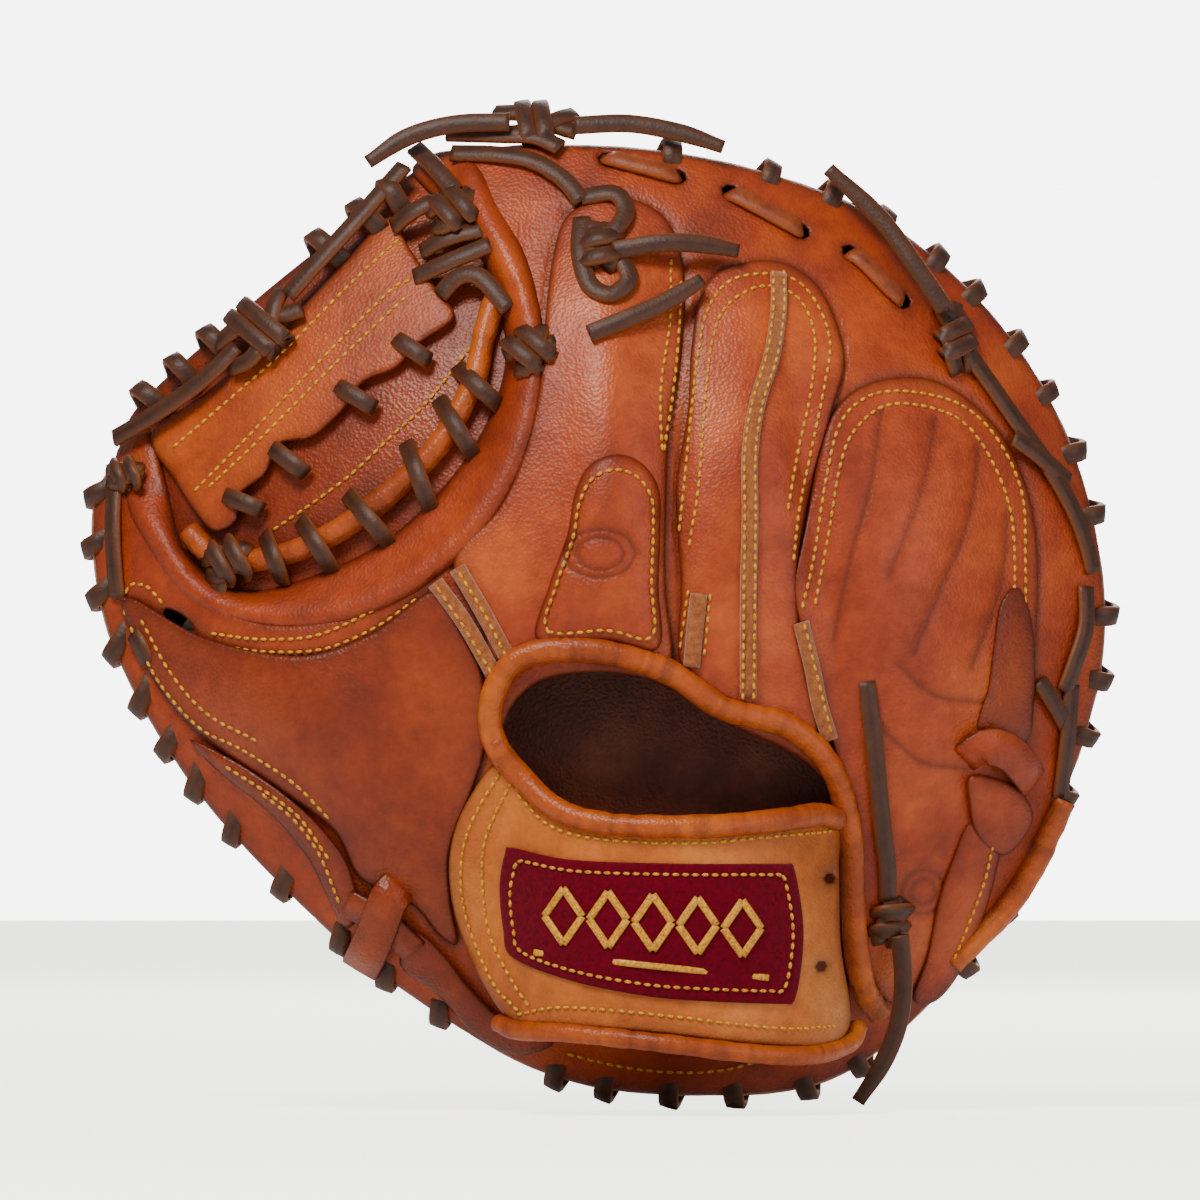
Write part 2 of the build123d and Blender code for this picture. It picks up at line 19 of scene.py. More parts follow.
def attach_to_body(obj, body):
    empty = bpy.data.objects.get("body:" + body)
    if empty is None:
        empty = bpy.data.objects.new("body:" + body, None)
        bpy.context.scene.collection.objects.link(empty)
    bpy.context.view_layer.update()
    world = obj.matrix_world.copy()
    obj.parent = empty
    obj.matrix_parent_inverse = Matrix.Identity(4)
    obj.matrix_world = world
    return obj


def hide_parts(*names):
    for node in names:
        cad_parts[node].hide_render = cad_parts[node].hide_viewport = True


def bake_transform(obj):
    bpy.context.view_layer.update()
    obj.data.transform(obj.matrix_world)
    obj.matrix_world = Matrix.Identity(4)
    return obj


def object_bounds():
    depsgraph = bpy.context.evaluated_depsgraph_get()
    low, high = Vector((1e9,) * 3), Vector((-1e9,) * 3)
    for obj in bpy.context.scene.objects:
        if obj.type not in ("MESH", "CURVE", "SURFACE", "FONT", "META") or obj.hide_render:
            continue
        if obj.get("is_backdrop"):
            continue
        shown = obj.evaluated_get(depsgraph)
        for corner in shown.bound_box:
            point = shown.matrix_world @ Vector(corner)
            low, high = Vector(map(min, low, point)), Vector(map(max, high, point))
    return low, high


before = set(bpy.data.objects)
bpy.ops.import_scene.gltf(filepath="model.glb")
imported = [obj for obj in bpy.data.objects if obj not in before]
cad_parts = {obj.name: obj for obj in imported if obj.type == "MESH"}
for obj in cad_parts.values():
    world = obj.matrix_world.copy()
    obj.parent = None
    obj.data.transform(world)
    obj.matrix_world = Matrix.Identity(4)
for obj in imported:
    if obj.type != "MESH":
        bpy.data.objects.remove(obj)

logging.basicConfig(level=logging.INFO, format="%(message)s")
LOG = logging.getLogger("mitt")
MM = 0.001
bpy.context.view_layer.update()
Level = Callable[[np.ndarray, np.ndarray], np.ndarray]
Plan = Sequence[tuple[float, float]]


class Facing(Enum):
    """Which way a panel's good side looks."""

    BACK = -1
    PALM = 1


# ---------------------------------------------------------------- plan geometry
def smooth_line(points: Sequence[Sequence[float]], step: float, closed: bool = False) -> np.ndarray:
    """Draws a smooth line through points and divides it evenly.

    Args:
        points: the points that it passes through, in two or three coordinates.
        step: the spacing of the result, in the points' own unit.
        closed: whether the line joins its own start.

    Returns:
        The evenly spaced points; a closed line doesn't repeat its first one.
    """
    p = np.array(points, float)
    n = len(p)
    spans = n if closed else n - 1
    t = np.linspace(0, 1, 14, endpoint=False)[:, None]
    out = []
    for i in range(spans):
        if closed:
            a, b, c, d = (p[(i + k) % n] for k in (-1, 0, 1, 2))
        else:
            b, c = p[i], p[i + 1]
            a = p[i - 1] if i else 2 * b - c
            d = p[i + 2] if i + 2 < n else 2 * c - b
        out.append(0.5 * (2 * b + (c - a) * t + (2 * a - 5 * b + 4 * c - d) * t**2
                          + (3 * b - a - 3 * c + d) * t**3))
    out.append(p[:1] if closed else p[-1:])
    line = np.vstack(out)
    run = np.concatenate([[0], np.cumsum(np.linalg.norm(np.diff(line, axis=0), axis=1))])
    count = max(2, round(run[-1] / step) + 1)
    places = np.linspace(0, run[-1], count)
    even = np.column_stack([np.interp(places, run, line[:, k]) for k in range(p.shape[1])])
    return even[:-1] if closed else even


def away_from(x: np.ndarray, z: np.ndarray, line: np.ndarray, closed: bool = False) -> np.ndarray:
    """Distance of each plan place from a line of short straight runs.

    Args:
        x: the places' x.
        z: the places' z.
        line: the line's points, one a row.
        closed: whether the last point joins the first.

    Returns:
        One distance a place.
    """
    a = line if closed else line[:-1]
    b = np.roll(line, -1, axis=0) if closed else line[1:]
    best = np.full(x.shape, 1e9)
    for s in range(0, len(x), 4000):
        q = np.column_stack([x[s:s + 4000], z[s:s + 4000]])[:, None, :]
        run = (b - a)[None]
        t = np.clip(((q - a[None]) * run).sum(2) / np.maximum((run**2).sum(2), 1e-9), 0, 1)
        best[s:s + 4000] = np.linalg.norm(q - a[None] - run * t[..., None], axis=2).min(1)
    return best


def inside(x: np.ndarray, z: np.ndarray, ring: np.ndarray) -> np.ndarray:
    """Whether each plan place is inside a closed ring.

    Args:
        x: Plan places across, in mm.
        z: Plan places up, in mm.
        ring: The closed ring of plan points.

    Returns:
        True for each place that is inside.
    """
    a, b = ring, np.roll(ring, -1, axis=0)
    hit = np.zeros(x.shape, bool)
    for (ax, az), (bx, bz) in zip(a, b):
        if az != bz:
            cross = (az > z) != (bz > z)
            hit ^= cross & (x < (bx - ax) * (z - az) / (bz - az) + ax)
    return hit


def ease(t: np.ndarray) -> np.ndarray:
    """A smooth step from 0 to 1.

    Args:
        t: Values; below 0 and above 1 are held there.

    Returns:
        The eased values.
    """
    t = np.clip(t, 0, 1)
    return t * t * (3 - 2 * t)


# ---------------------------------------------------------------- outlines that several pieces share
EDGE = [
    (-22, 243.5), (19, 237.5), (57, 222.5), (88, 195), (108.5, 160), (117.5, 118), (112.5, 82),
    (96.5, 44), (75, 13), (44, -13.5), (6, -18.5), (-35, -13), (-75, 10), (-105, 35), (-135.5, 69),
    (-157, 107), (-162, 140), (-154, 168), (-129, 191), (-98, 218), (-64, 239.5),
]
COLLAR_OUT = [
    (-160, 152), (-146, 136), (-133, 119), (-115, 112), (-95, 113), (-75, 121), (-57, 136),
    (-45, 155), (-39, 180), (-42, 203), (-54, 226), (-62, 248), (-110, 252), (-185, 200),
]
MOUTH = [(-48, 85), (-36, 97), (-10, 97), (12, 85), (34, 74), (45, 58), (46, 28), (44, 3),
         (20, 0), (-10, 1), (-44, 5), (-47, 28), (-46, 66)]
EDGE_LINE = smooth_line(EDGE, 2.0, closed=True)
COLLAR_LINE = smooth_line(COLLAR_OUT, 2.0, closed=True)


@dataclass(frozen=True)
class Bump:
    """A soft swelling or valley: its middle, its two half sizes, its turn and its height."""

    x: float
    z: float
    long: float
    short: float
    turn: float
    height: float

    def rise(self, x: np.ndarray, z: np.ndarray) -> np.ndarray:
        """Height of the swelling at plan places.

        Args:
            x: Plan places across, in mm.
            z: Plan places up, in mm.

        Returns:
            Heights in mm, one for each place.
        """
        c, s = math.cos(math.radians(self.turn)), math.sin(math.radians(self.turn))
        u = ((x - self.x) * c + (z - self.z) * s) / self.long
        v = (-(x - self.x) * s + (z - self.z) * c) / self.short
        return self.height * np.exp(-(u * u + v * v))


@dataclass(frozen=True)
class MittForm:
    """The mitt's big surfaces as depths over the plan, in mm."""

    middle_x: float = -22.0
    middle_z: float = 115.5
    radius: float = 200.0
    depth: float = 34.0
    rim: float = 7.0  # back leather, welt and palm leather at the laced edge
    crest: float = 50.0
    pocket: float = 14.0
    crest_share: float = 0.74
    flange_share: float = 0.925
    web_sink: float = 8.5
    bumps: tuple[Bump, ...] = (
        Bump(-104, 82, 38, 24, -48, 6.0),  # thumb stall
        Bump(-72, 50, 24, 18, -60, 2.5),
        Bump(-20, 168, 48, 11, 90, 4.0),  # index finger
        Bump(20, 160, 52, 13, 86, 3.2),  # middle and ring fingers
        Bump(66, 118, 56, 21, 96, 5.5),  # little finger
        Bump(-1, 150, 50, 4.5, 90, -2.8),
        Bump(37, 140, 46, 4.5, 98, -3.4),
        Bump(40, 222, 60, 9, -30, 2.0),  # padded top band
        Bump(-40, 215, 26, 9, 70, -2.5),
    )

    def dome(self, x: np.ndarray, z: np.ndarray) -> np.ndarray:
        """Depth of the plain dome.

        Args:
            x: Plan places across, in mm.
            z: Plan places up, in mm.

        Returns:
            Depths along Y, in mm, one for each place.
        """
        run = (x - self.middle_x) ** 2 + (z - self.middle_z) ** 2
        return self.radius - self.depth - np.sqrt(np.maximum(self.radius**2 - run, 1.0))

    def back(self, x: np.ndarray, z: np.ndarray) -> np.ndarray:
        """Depth of the back leather, with the fingers' swellings.

        Args:
            x: Plan places across, in mm.
            z: Plan places up, in mm.

        Returns:
            Depths along Y, in mm, one for each place.
        """
        rise = sum(b.rise(x, z) for b in self.bumps)
        calm = ease(self.edge_room(x, z) / 30.0)
        return self.dome(x, z) - rise * (0.25 + 0.75 * calm)

    def edge_reach(self, x: np.ndarray, z: np.ndarray) -> np.ndarray:
        """Plan distance from the middle to the laced edge, in each place's direction.

        Args:
            x: Plan places across, in mm.
            z: Plan places up, in mm.

        Returns:
            Distances in mm, one for each place.
        """
        turn = np.arctan2(EDGE_LINE[:, 1] - self.middle_z, EDGE_LINE[:, 0] - self.middle_x)
        far = np.hypot(EDGE_LINE[:, 1] - self.middle_z, EDGE_LINE[:, 0] - self.middle_x)
        order = np.argsort(turn)
        return np.interp(np.arctan2(z - self.middle_z, x - self.middle_x), turn[order], far[order],
                         period=2 * math.pi)

    def edge_room(self, x: np.ndarray, z: np.ndarray) -> np.ndarray:
        """Plan distance left before the laced edge, along the ray from the middle.

        Args:
            x: Plan places across, in mm.
            z: Plan places up, in mm.

        Returns:
            Distances in mm, one for each place.
        """
        return self.edge_reach(x, z) - np.hypot(x - self.middle_x, z - self.middle_z)

    def palm(self, x: np.ndarray, z: np.ndarray) -> np.ndarray:
        """Depth of the palm leather: pocket, padded crest and wall down to the edge.

        Args:
            x: Plan places across, in mm.
            z: Plan places up, in mm.

        Returns:
            Depths along Y, in mm, one for each place.
        """
        reach = self.edge_reach(x, z)
        share = np.clip(np.hypot(x - self.middle_x, z - self.middle_z) / reach, 0, 1)
        scale = reach / np.maximum(share * reach, 1e-6)
        rim_x = self.middle_x + (x - self.middle_x) * scale
        rim_z = self.middle_z + (z - self.middle_z) * scale
        low = self.dome(rim_x, rim_z) + self.rim
        bowl = self.pocket + (self.crest - self.pocket) * 0.5 * (
            1 - np.cos(math.pi * np.clip(share / self.crest_share, 0, 1)))
        t = np.clip((share - self.crest_share) / (self.flange_share - self.crest_share), 0, 1)
        wall = low + (self.crest - low) * np.sqrt(np.clip(1 - t**2.3, 0, 1))
        y = np.where(share < self.crest_share, bowl, wall)
        near_web = away_from(x, z, COLLAR_LINE, closed=True)
        keep = ease(near_web / 34.0)
        floor = np.minimum(self.dome(x, z) + self.rim + 1, y)
        y = floor + (y - floor) * keep
        fold = self.fold_side(x, z)
        crease = np.exp(-((fold + 4) / 4.5) ** 2) + 0.5 * np.exp(-((fold - 118) / 6) ** 2) * (z < 70)
        return y - 4.5 * crease * ease((y - 16) / 30)

    def fold_side(self, x: np.ndarray, z: np.ndarray) -> np.ndarray:
        """Plan distance from the fold line, positive on the fingers' side.

        Args:
            x: Plan places across, in mm.
            z: Plan places up, in mm.

        Returns:
            Signed distances in mm, one for each place.
        """
        return (x + 62.0) * 0.97256 + (z + 2.0) * 0.23267

    def web(self, x: np.ndarray, z: np.ndarray) -> np.ndarray:
        """Depth of the web's lower panel, sunk into its collar.

        Args:
            x: Plan places across, in mm.
            z: Plan places up, in mm.

        Returns:
            Depths along Y, in mm, one for each place.
        """
        return self.dome(x, z) + self.web_sink

    def collar(self, x: np.ndarray, z: np.ndarray) -> np.ndarray:
        """Depth of the web's collar, rolling from the back down to the web.

        Args:
            x: Plan places across, in mm.
            z: Plan places up, in mm.

        Returns:
            Depths along Y, in mm, one for each place.
        """
        sunk = ease(away_from(x, z, COLLAR_LINE, closed=True) / 11.0)
        return self.dome(x, z) - 1.5 + sunk * (self.web_sink - 2.0)


FORM = MittForm()


def slope_normal(level: Level, x: np.ndarray, z: np.ndarray, facing: Facing) -> np.ndarray:
    """Unit normals of a surface at plan places, on its good side.

    Args:
        level: The surface, as its depth at plan places.
        x: Plan places across, in mm.
        z: Plan places up, in mm.
        facing: The side that counts as the good one.

    Returns:
        One unit normal for each place.
    """
    e = 0.6
    dx = (level(x + e, z) - level(x - e, z)) / (2 * e)
    dz = (level(x, z + e) - level(x, z - e)) / (2 * e)
    n = np.column_stack([-dx, np.ones_like(dx), -dz])
    n /= np.linalg.norm(n, axis=1)[:, None]
    return n * facing.value


# ---------------------------------------------------------------- materials
def linear(hex_colour: str) -> tuple[float, float, float, float]:
    """Turns an sRGB hex colour to linear light.

    Args:
        hex_colour: The colour as six hex digits.

    Returns:
        Linear red, green, blue and alpha.
    """
    parts = [int(hex_colour[i:i + 2], 16) / 255 for i in (1, 3, 5)]
    r, g, b = (c / 12.92 if c <= 0.04045 else ((c + 0.055) / 1.055) ** 2.4 for c in parts)
    return (r, g, b, 1.0)


def add_node(tree: bpy.types.NodeTree, kind: str, links: dict | None = None, values: dict | None = None,
             **settings: object) -> bpy.types.Node:
    """Adds a node with its settings, its input values and its incoming links.

    Args:
        tree: the node tree.
        kind: the node's type name.
        links: input name or number to the output socket that feeds it.
        values: input name or number to its constant.
        settings: the node's own properties.

    Returns:
        The new node.
    """
    made = tree.nodes.new(kind)
    for key, value in settings.items():
        setattr(made, key, value)
    for key, value in (values or {}).items():
        made.inputs[key].default_value = value
    for key, socket in (links or {}).items():
        tree.links.new(socket, made.inputs[key])
    return made


def start_material(name: str) -> tuple[bpy.types.Material, bpy.types.NodeTree, bpy.types.Node]:
    """A node material with its Principled shader.

    Args:
        name: The name of the material.

    Returns:
        The material, its node tree and its Principled shader.
    """
    material = bpy.data.materials.new(name)
    material.use_nodes = True
    tree = material.node_tree
    return material, tree, tree.nodes["Principled BSDF"]


def ramp(tree: bpy.types.NodeTree, source: bpy.types.NodeSocket,
         stops: Sequence[tuple[float, str]]) -> bpy.types.NodeSocket:
    """A colour ramp from hex stops, fed by a value.

    Args:
        tree: The node tree to add to.
        source: The value that drives the ramp.
        stops: Each stop with its hex colour.

    Returns:
        The ramp's colour socket.
    """
    made = add_node(tree, "ShaderNodeValToRGB", {"Fac": source})
    band = made.color_ramp
    while len(band.elements) < len(stops):
        band.elements.new(0.5)
    for element, (place, colour) in zip(band.elements, stops):
        element.position = place
        element.color = linear(colour)
    return made.outputs["Color"]


@dataclass(frozen=True)
class Leather:
    """Oiled steerhide, tanned and rubbed by hand: grain pores, pull-up tone, dyed edges with painted shade,
    and painted shade in the seam grooves.
    """

    name: str
    dark: str
    mid: str
    light: str
    rough: float = 0.42
    pore_mm: float = 0.8  # real pores are about 0.3 mm; drawn coarser, so that they show
    grain: float = 0.24
    cloud_mm: float = 34.0  # how far the tanner's colour drifts
    # the dark colour that cut edges and seam grooves go towards: partly the edge's own dye, partly painted
    # shade
    dye_and_shade_dark: str = "#3A1003"

    def make(self) -> bpy.types.Material:
        """Builds the material.

        Returns:
            The finished leather.
        """
        material, tree, shader = start_material(self.name)
        place = add_node(tree, "ShaderNodeTexCoord").outputs["Object"]
        cloud = add_node(tree, "ShaderNodeTexNoise", {"Vector": place},
                         {"Scale": 1 / (self.cloud_mm * MM), "Detail": 5.0, "Roughness": 0.62})
        tone = ramp(tree, cloud.outputs["Fac"],
                    ((0.28, self.dark), (0.5, self.mid), (0.72, self.light)))
        # darker near the cut edges: the edge's own dye plus painted shade where the panel rolls down to its
        # seam
        edge_dye_and_shade_mark = add_node(tree, "ShaderNodeAttribute", attribute_name="edge")
        edge_darkened = add_node(tree, "ShaderNodeMix", {"Factor": edge_dye_and_shade_mark.outputs["Fac"], 6: tone},
                           {7: linear(self.dye_and_shade_dark)}, data_type="RGBA")
        # painted shade in the seam grooves, darkening them towards the same dark colour
        sunk = add_node(tree, "ShaderNodeAttribute", attribute_name="groove")
        shaded = add_node(tree, "ShaderNodeMix", {"Factor": sunk.outputs["Fac"],
                                                 6: edge_darkened.outputs[2]},
                          {7: linear(self.dye_and_shade_dark)}, data_type="RGBA")
        mottle = add_node(tree, "ShaderNodeTexNoise", {"Vector": place},
                          {"Scale": 1 / (3.5 * MM), "Detail": 3.0, "Roughness": 0.7})
        speck = add_node(tree, "ShaderNodeMapRange", {"Value": mottle.outputs["Fac"]},
                         {"From Min": 0.3, "From Max": 0.7, "To Min": 0.86, "To Max": 1.12})
        tinted = add_node(tree, "ShaderNodeVectorMath", {0: shaded.outputs[2],
                                                        1: speck.outputs["Result"]},
                          operation="MULTIPLY")
        tree.links.new(tinted.outputs[0], shader.inputs["Base Color"])
        pores = add_node(tree, "ShaderNodeTexVoronoi", {"Vector": place},
                         {"Scale": 1 / (self.pore_mm * MM)}, feature="SMOOTH_F1")
        folds = add_node(tree, "ShaderNodeTexNoise", {"Vector": place},
                         {"Scale": 1 / (9 * MM), "Detail": 8.0, "Roughness": 0.68})
        height = add_node(tree, "ShaderNodeMath", {0: folds.outputs["Fac"],
                                                  1: pores.outputs["Distance"]},
                          operation="MULTIPLY_ADD")
        height.inputs[1].default_value = 0.5
        tree.links.new(folds.outputs["Fac"], height.inputs[0])
        tree.links.new(pores.outputs["Distance"], height.inputs[2])
        bump = add_node(tree, "ShaderNodeBump", {"Height": height.outputs[0]},
                        {"Strength": self.grain, "Distance": 0.6 * MM})
        tree.links.new(bump.outputs["Normal"], shader.inputs["Normal"])
        sheen = add_node(tree, "ShaderNodeMapRange", {"Value": cloud.outputs["Fac"]},
                         {"From Min": 0.3, "From Max": 0.7, "To Min": self.rough + 0.1,
                          "To Max": self.rough - 0.06})
        tree.links.new(sheen.outputs["Result"], shader.inputs["Roughness"])
        shader.inputs["IOR"].default_value = 1.48
        shader.inputs["Specular IOR Level"].default_value = 0.34
        return material


@dataclass(frozen=True)
class LaceLeather:
    """Alum-tanned rawhide lace, dyed dark on its faces: the knife-cut edges stay paler."""

    name: str = "rawhide_lace_dyed_cut"
    face: str = "#3C1D0C"
    shade: str = "#241005"
    cut: str = "#7E4218"

    def make(self) -> bpy.types.Material:
        """Builds the material.

        Returns:
            The finished material.
        """
        material, tree, shader = start_material(self.name)
        place = add_node(tree, "ShaderNodeTexCoord").outputs["Object"]
        streak = add_node(tree, "ShaderNodeTexNoise", {"Vector": place},
                          {"Scale": 1 / (5 * MM), "Detail": 6.0, "Roughness": 0.7})
        tone = ramp(tree, streak.outputs["Fac"], ((0.32, self.shade), (0.62, self.face)))
        rim = add_node(tree, "ShaderNodeAttribute", attribute_name="edge")
        mixed = add_node(tree, "ShaderNodeMix", {"Factor": rim.outputs["Fac"], 6: tone},
                         {7: linear(self.cut)}, data_type="RGBA")
        tree.links.new(mixed.outputs[2], shader.inputs["Base Color"])
        fine = add_node(tree, "ShaderNodeTexNoise", {"Vector": place},
                        {"Scale": 1 / (0.9 * MM), "Detail": 4.0})
        bump = add_node(tree, "ShaderNodeBump", {"Height": fine.outputs["Fac"]},
                        {"Strength": 0.4, "Distance": 0.4 * MM})
        tree.links.new(bump.outputs["Normal"], shader.inputs["Normal"])
        shader.inputs["Roughness"].default_value = 0.5
        shader.inputs["Specular IOR Level"].default_value = 0.4
        return material


@dataclass(frozen=True)
class Nap:
    """A raised fibre surface: split suede or pressed wool felt, matt, with a soft rim of light."""

    name: str
    dark: str
    light: str
    fibre_mm: float
    depth_mm: float = 0.5
    sheen: float = 0.5

    def make(self) -> bpy.types.Material:
        """Builds the material.

        Returns:
            The finished material.
        """
        material, tree, shader = start_material(self.name)
        place = add_node(tree, "ShaderNodeTexCoord").outputs["Object"]
        fibre = add_node(tree, "ShaderNodeTexNoise", {"Vector": place},
                         {"Scale": 1 / (self.fibre_mm * MM), "Detail": 6.0, "Roughness": 0.75})
        tone = ramp(tree, fibre.outputs["Fac"], ((0.3, self.dark), (0.7, self.light)))
        tree.links.new(tone, shader.inputs["Base Color"])
        bump = add_node(tree, "ShaderNodeBump", {"Height": fibre.outputs["Fac"]},
                        {"Strength": 0.8, "Distance": self.depth_mm * MM})
        tree.links.new(bump.outputs["Normal"], shader.inputs["Normal"])
        shader.inputs["Roughness"].default_value = 0.95
        shader.inputs["Sheen Weight"].default_value = self.sheen
        shader.inputs["Specular IOR Level"].default_value = 0.1
        return material


@dataclass(frozen=True)
class Thread:
    """Bonded polyester thread, plied and waxed: a small gloss along each stitch."""

    name: str = "gold_thread_plied_waxed"
    colour: str = "#DB9A0A"
    shade: str = "#A06404"

    def make(self) -> bpy.types.Material:
        """Builds the material.

        Returns:
            The finished material.
        """
        material, tree, shader = start_material(self.name)
        place = add_node(tree, "ShaderNodeTexCoord").outputs["Object"]
        ply = add_node(tree, "ShaderNodeTexNoise", {"Vector": place},
                       {"Scale": 1 / (0.7 * MM), "Detail": 2.0})
        tone = ramp(tree, ply.outputs["Fac"], ((0.35, self.shade), (0.6, self.colour)))
        tree.links.new(tone, shader.inputs["Base Color"])
        shader.inputs["Roughness"].default_value = 0.45
        return material


@dataclass(frozen=True)
class StudioPaper:
    """Matt white seamless paper."""

    name: str = "studio_paper_matt"
    colour: str = "#F4F3F1"
    glow: float = 3.0  # lit from behind, seen only by the camera

    def make(self) -> bpy.types.Material:
        """Builds the material.

        Returns:
            The finished material.
        """
        material, tree, shader = start_material(self.name)
        shader.inputs["Base Color"].default_value = linear(self.colour)
        shader.inputs["Roughness"].default_value = 0.9
        shader.inputs["Emission Color"].default_value = linear(self.colour)
        seen = add_node(tree, "ShaderNodeLightPath").outputs["Is Camera Ray"]
        glow = add_node(tree, "ShaderNodeMath", {0: seen}, {1: self.glow}, operation="MULTIPLY")
        tree.links.new(glow.outputs[0], shader.inputs["Emission Strength"])
        return material


class Finish(Enum):
    """The mitt's finishes."""

    BODY = "body leather"
    THUMB = "thumb stall leather"
    FINGER = "finger stall leather"
    WEB_TOP = "web panel leather"
    BINDING = "binding leather"
    STRAP = "strap leather"
    LACE = "rawhide lace"
    TAN_LACE = "undyed rawhide lace"
    SUEDE = "split suede"
    LINING = "lining leather"
    PADDING = "felt stuffing"
    FELT = "wool felt"
    THREAD = "sewing thread"


RECIPES = {
    Finish.BODY: Leather("steerhide_oiled_tan", "#681E06", "#93340C", "#AE4A15"),
    Finish.THUMB: Leather("steerhide_oiled_thumb", "#5A1A06", "#7C2A09", "#943C10", rough=0.38),
    Finish.FINGER: Leather("steerhide_oiled_finger", "#701F07", "#9C3A12", "#B8541F", rough=0.4),
    Finish.WEB_TOP: Leather("steerhide_oiled_web", "#7C2A08", "#A2420F", "#B8571B", rough=0.4),
    Finish.BINDING: Leather("binding_leather_rolled", "#7E2F08", "#AC4C0E", "#C46418", rough=0.36,
                            dye_and_shade_dark="#5A2006"),
    Finish.STRAP: Leather("strap_leather_milled", "#91440E", "#B8601A", "#CC7C30", rough=0.44,
                          dye_and_shade_dark="#5E2A08"),
    Finish.LACE: LaceLeather(),
    Finish.TAN_LACE: LaceLeather("rawhide_lace_undyed_cut", "#8A3C10", "#5E2408", "#A04C18"),
    Finish.SUEDE: Nap("split_suede_raw", "#6E3412", "#AC6634", 1.6),
    Finish.LINING: Leather("lining_leather_glazed", "#421506", "#64260B", "#843C16", rough=0.4),
    Finish.PADDING: Nap("pressed_felt_stuffing", "#B9B29C", "#E2DCC8", 2.2),
    Finish.FELT: Nap("wool_felt_maroon", "#42000F", "#74001C", 1.2, sheen=0.04),
    Finish.THREAD: Thread(),
}


@dataclass
class Workshop:
    """Makes each material once, and turns points and faces into finished objects."""

    made: dict[Finish, bpy.types.Material] = field(default_factory=dict)

    def material(self, finish: Finish) -> bpy.types.Material:
        """The finish's material, made when it is first asked for.

        Args:
            finish: The finish wanted.

        Returns:
            The one material that all pieces of this finish share.
        """
        if finish not in self.made:
            self.made[finish] = RECIPES[finish].make()
        return self.made[finish]

    def mesh(self, name: str, points: np.ndarray, faces: Iterable[Sequence[int]], finish: Finish,
             marks: dict[str, np.ndarray] | None = None) -> bpy.types.Object:
        """A smooth-shaded object from points in mm.

        Args:
            name: the piece's name.
            points: one point a row, in mm.
            faces: corner numbers, anticlockwise seen from outside.
            finish: what it is made of.
            marks: point attributes for the material, from 0 to 1.

        Returns:
            The object, at the origin.
        """
        data = bpy.data.meshes.new(name)
        data.from_pydata((np.asarray(points) * MM).tolist(), [], [list(map(int, f)) for f in faces])
        for key, values in (marks or {}).items():
            mark = data.attributes.new(key, "FLOAT", "POINT")
            mark.data.foreach_set("value", np.asarray(values, np.float32))
        data.polygons.foreach_set("use_smooth", [True] * len(data.polygons))
        data.materials.append(self.material(finish))
        data.update()
        return put(name, data)


def put(name: str, data: bpy.types.Mesh) -> bpy.types.Object:
    """Adds a mesh to the scene as the visible piece of that name, at the origin.

    Args:
        name: The name of the piece, without its suffix.
        data: The mesh of the piece.

    Returns:
        The new object.
    """
    made = bpy.data.objects.new(name + "_piece", data)
    bpy.context.scene.collection.objects.link(made)
    return made


SHOP = Workshop()
FOLD_POINT = np.array([-62.0, 4.0, -2.0])
FOLD_ACROSS = np.array([0.97256, 0.0, 0.23267])
BLEND_FINGER = 26.0  # a piece that lies wholly past this, less 8 mm, on the fingers' side of the fold line rides with the fingers
BLEND_THUMB = -40.0


def attach(piece: bpy.types.Object, finish: Finish, *nodes: str) -> bpy.types.Object:
    """Joins a finished piece to the mitt: it rides on the finger side or the thumb side, or else has its
    transform baked in where it lies.

    Args:
        piece: the finished piece.
        finish: what it is made of; not used.
        nodes: the frame's nodes that it stands for.

    Returns:
        The same piece.
    """
    co = np.array([v.co for v in piece.data.vertices]) / MM
    across = (co - FOLD_POINT) @ FOLD_ACROSS
    if across.min() > BLEND_FINGER - 8:
        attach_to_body(piece, "finger_side")
    elif across.max() < BLEND_THUMB + 8:
        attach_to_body(piece, "thumb_side")
    else:
        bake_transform(piece)
    if nodes:
        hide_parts(*nodes)
    LOG.info("%s: %d faces", piece.name, len(piece.data.polygons))
    return piece


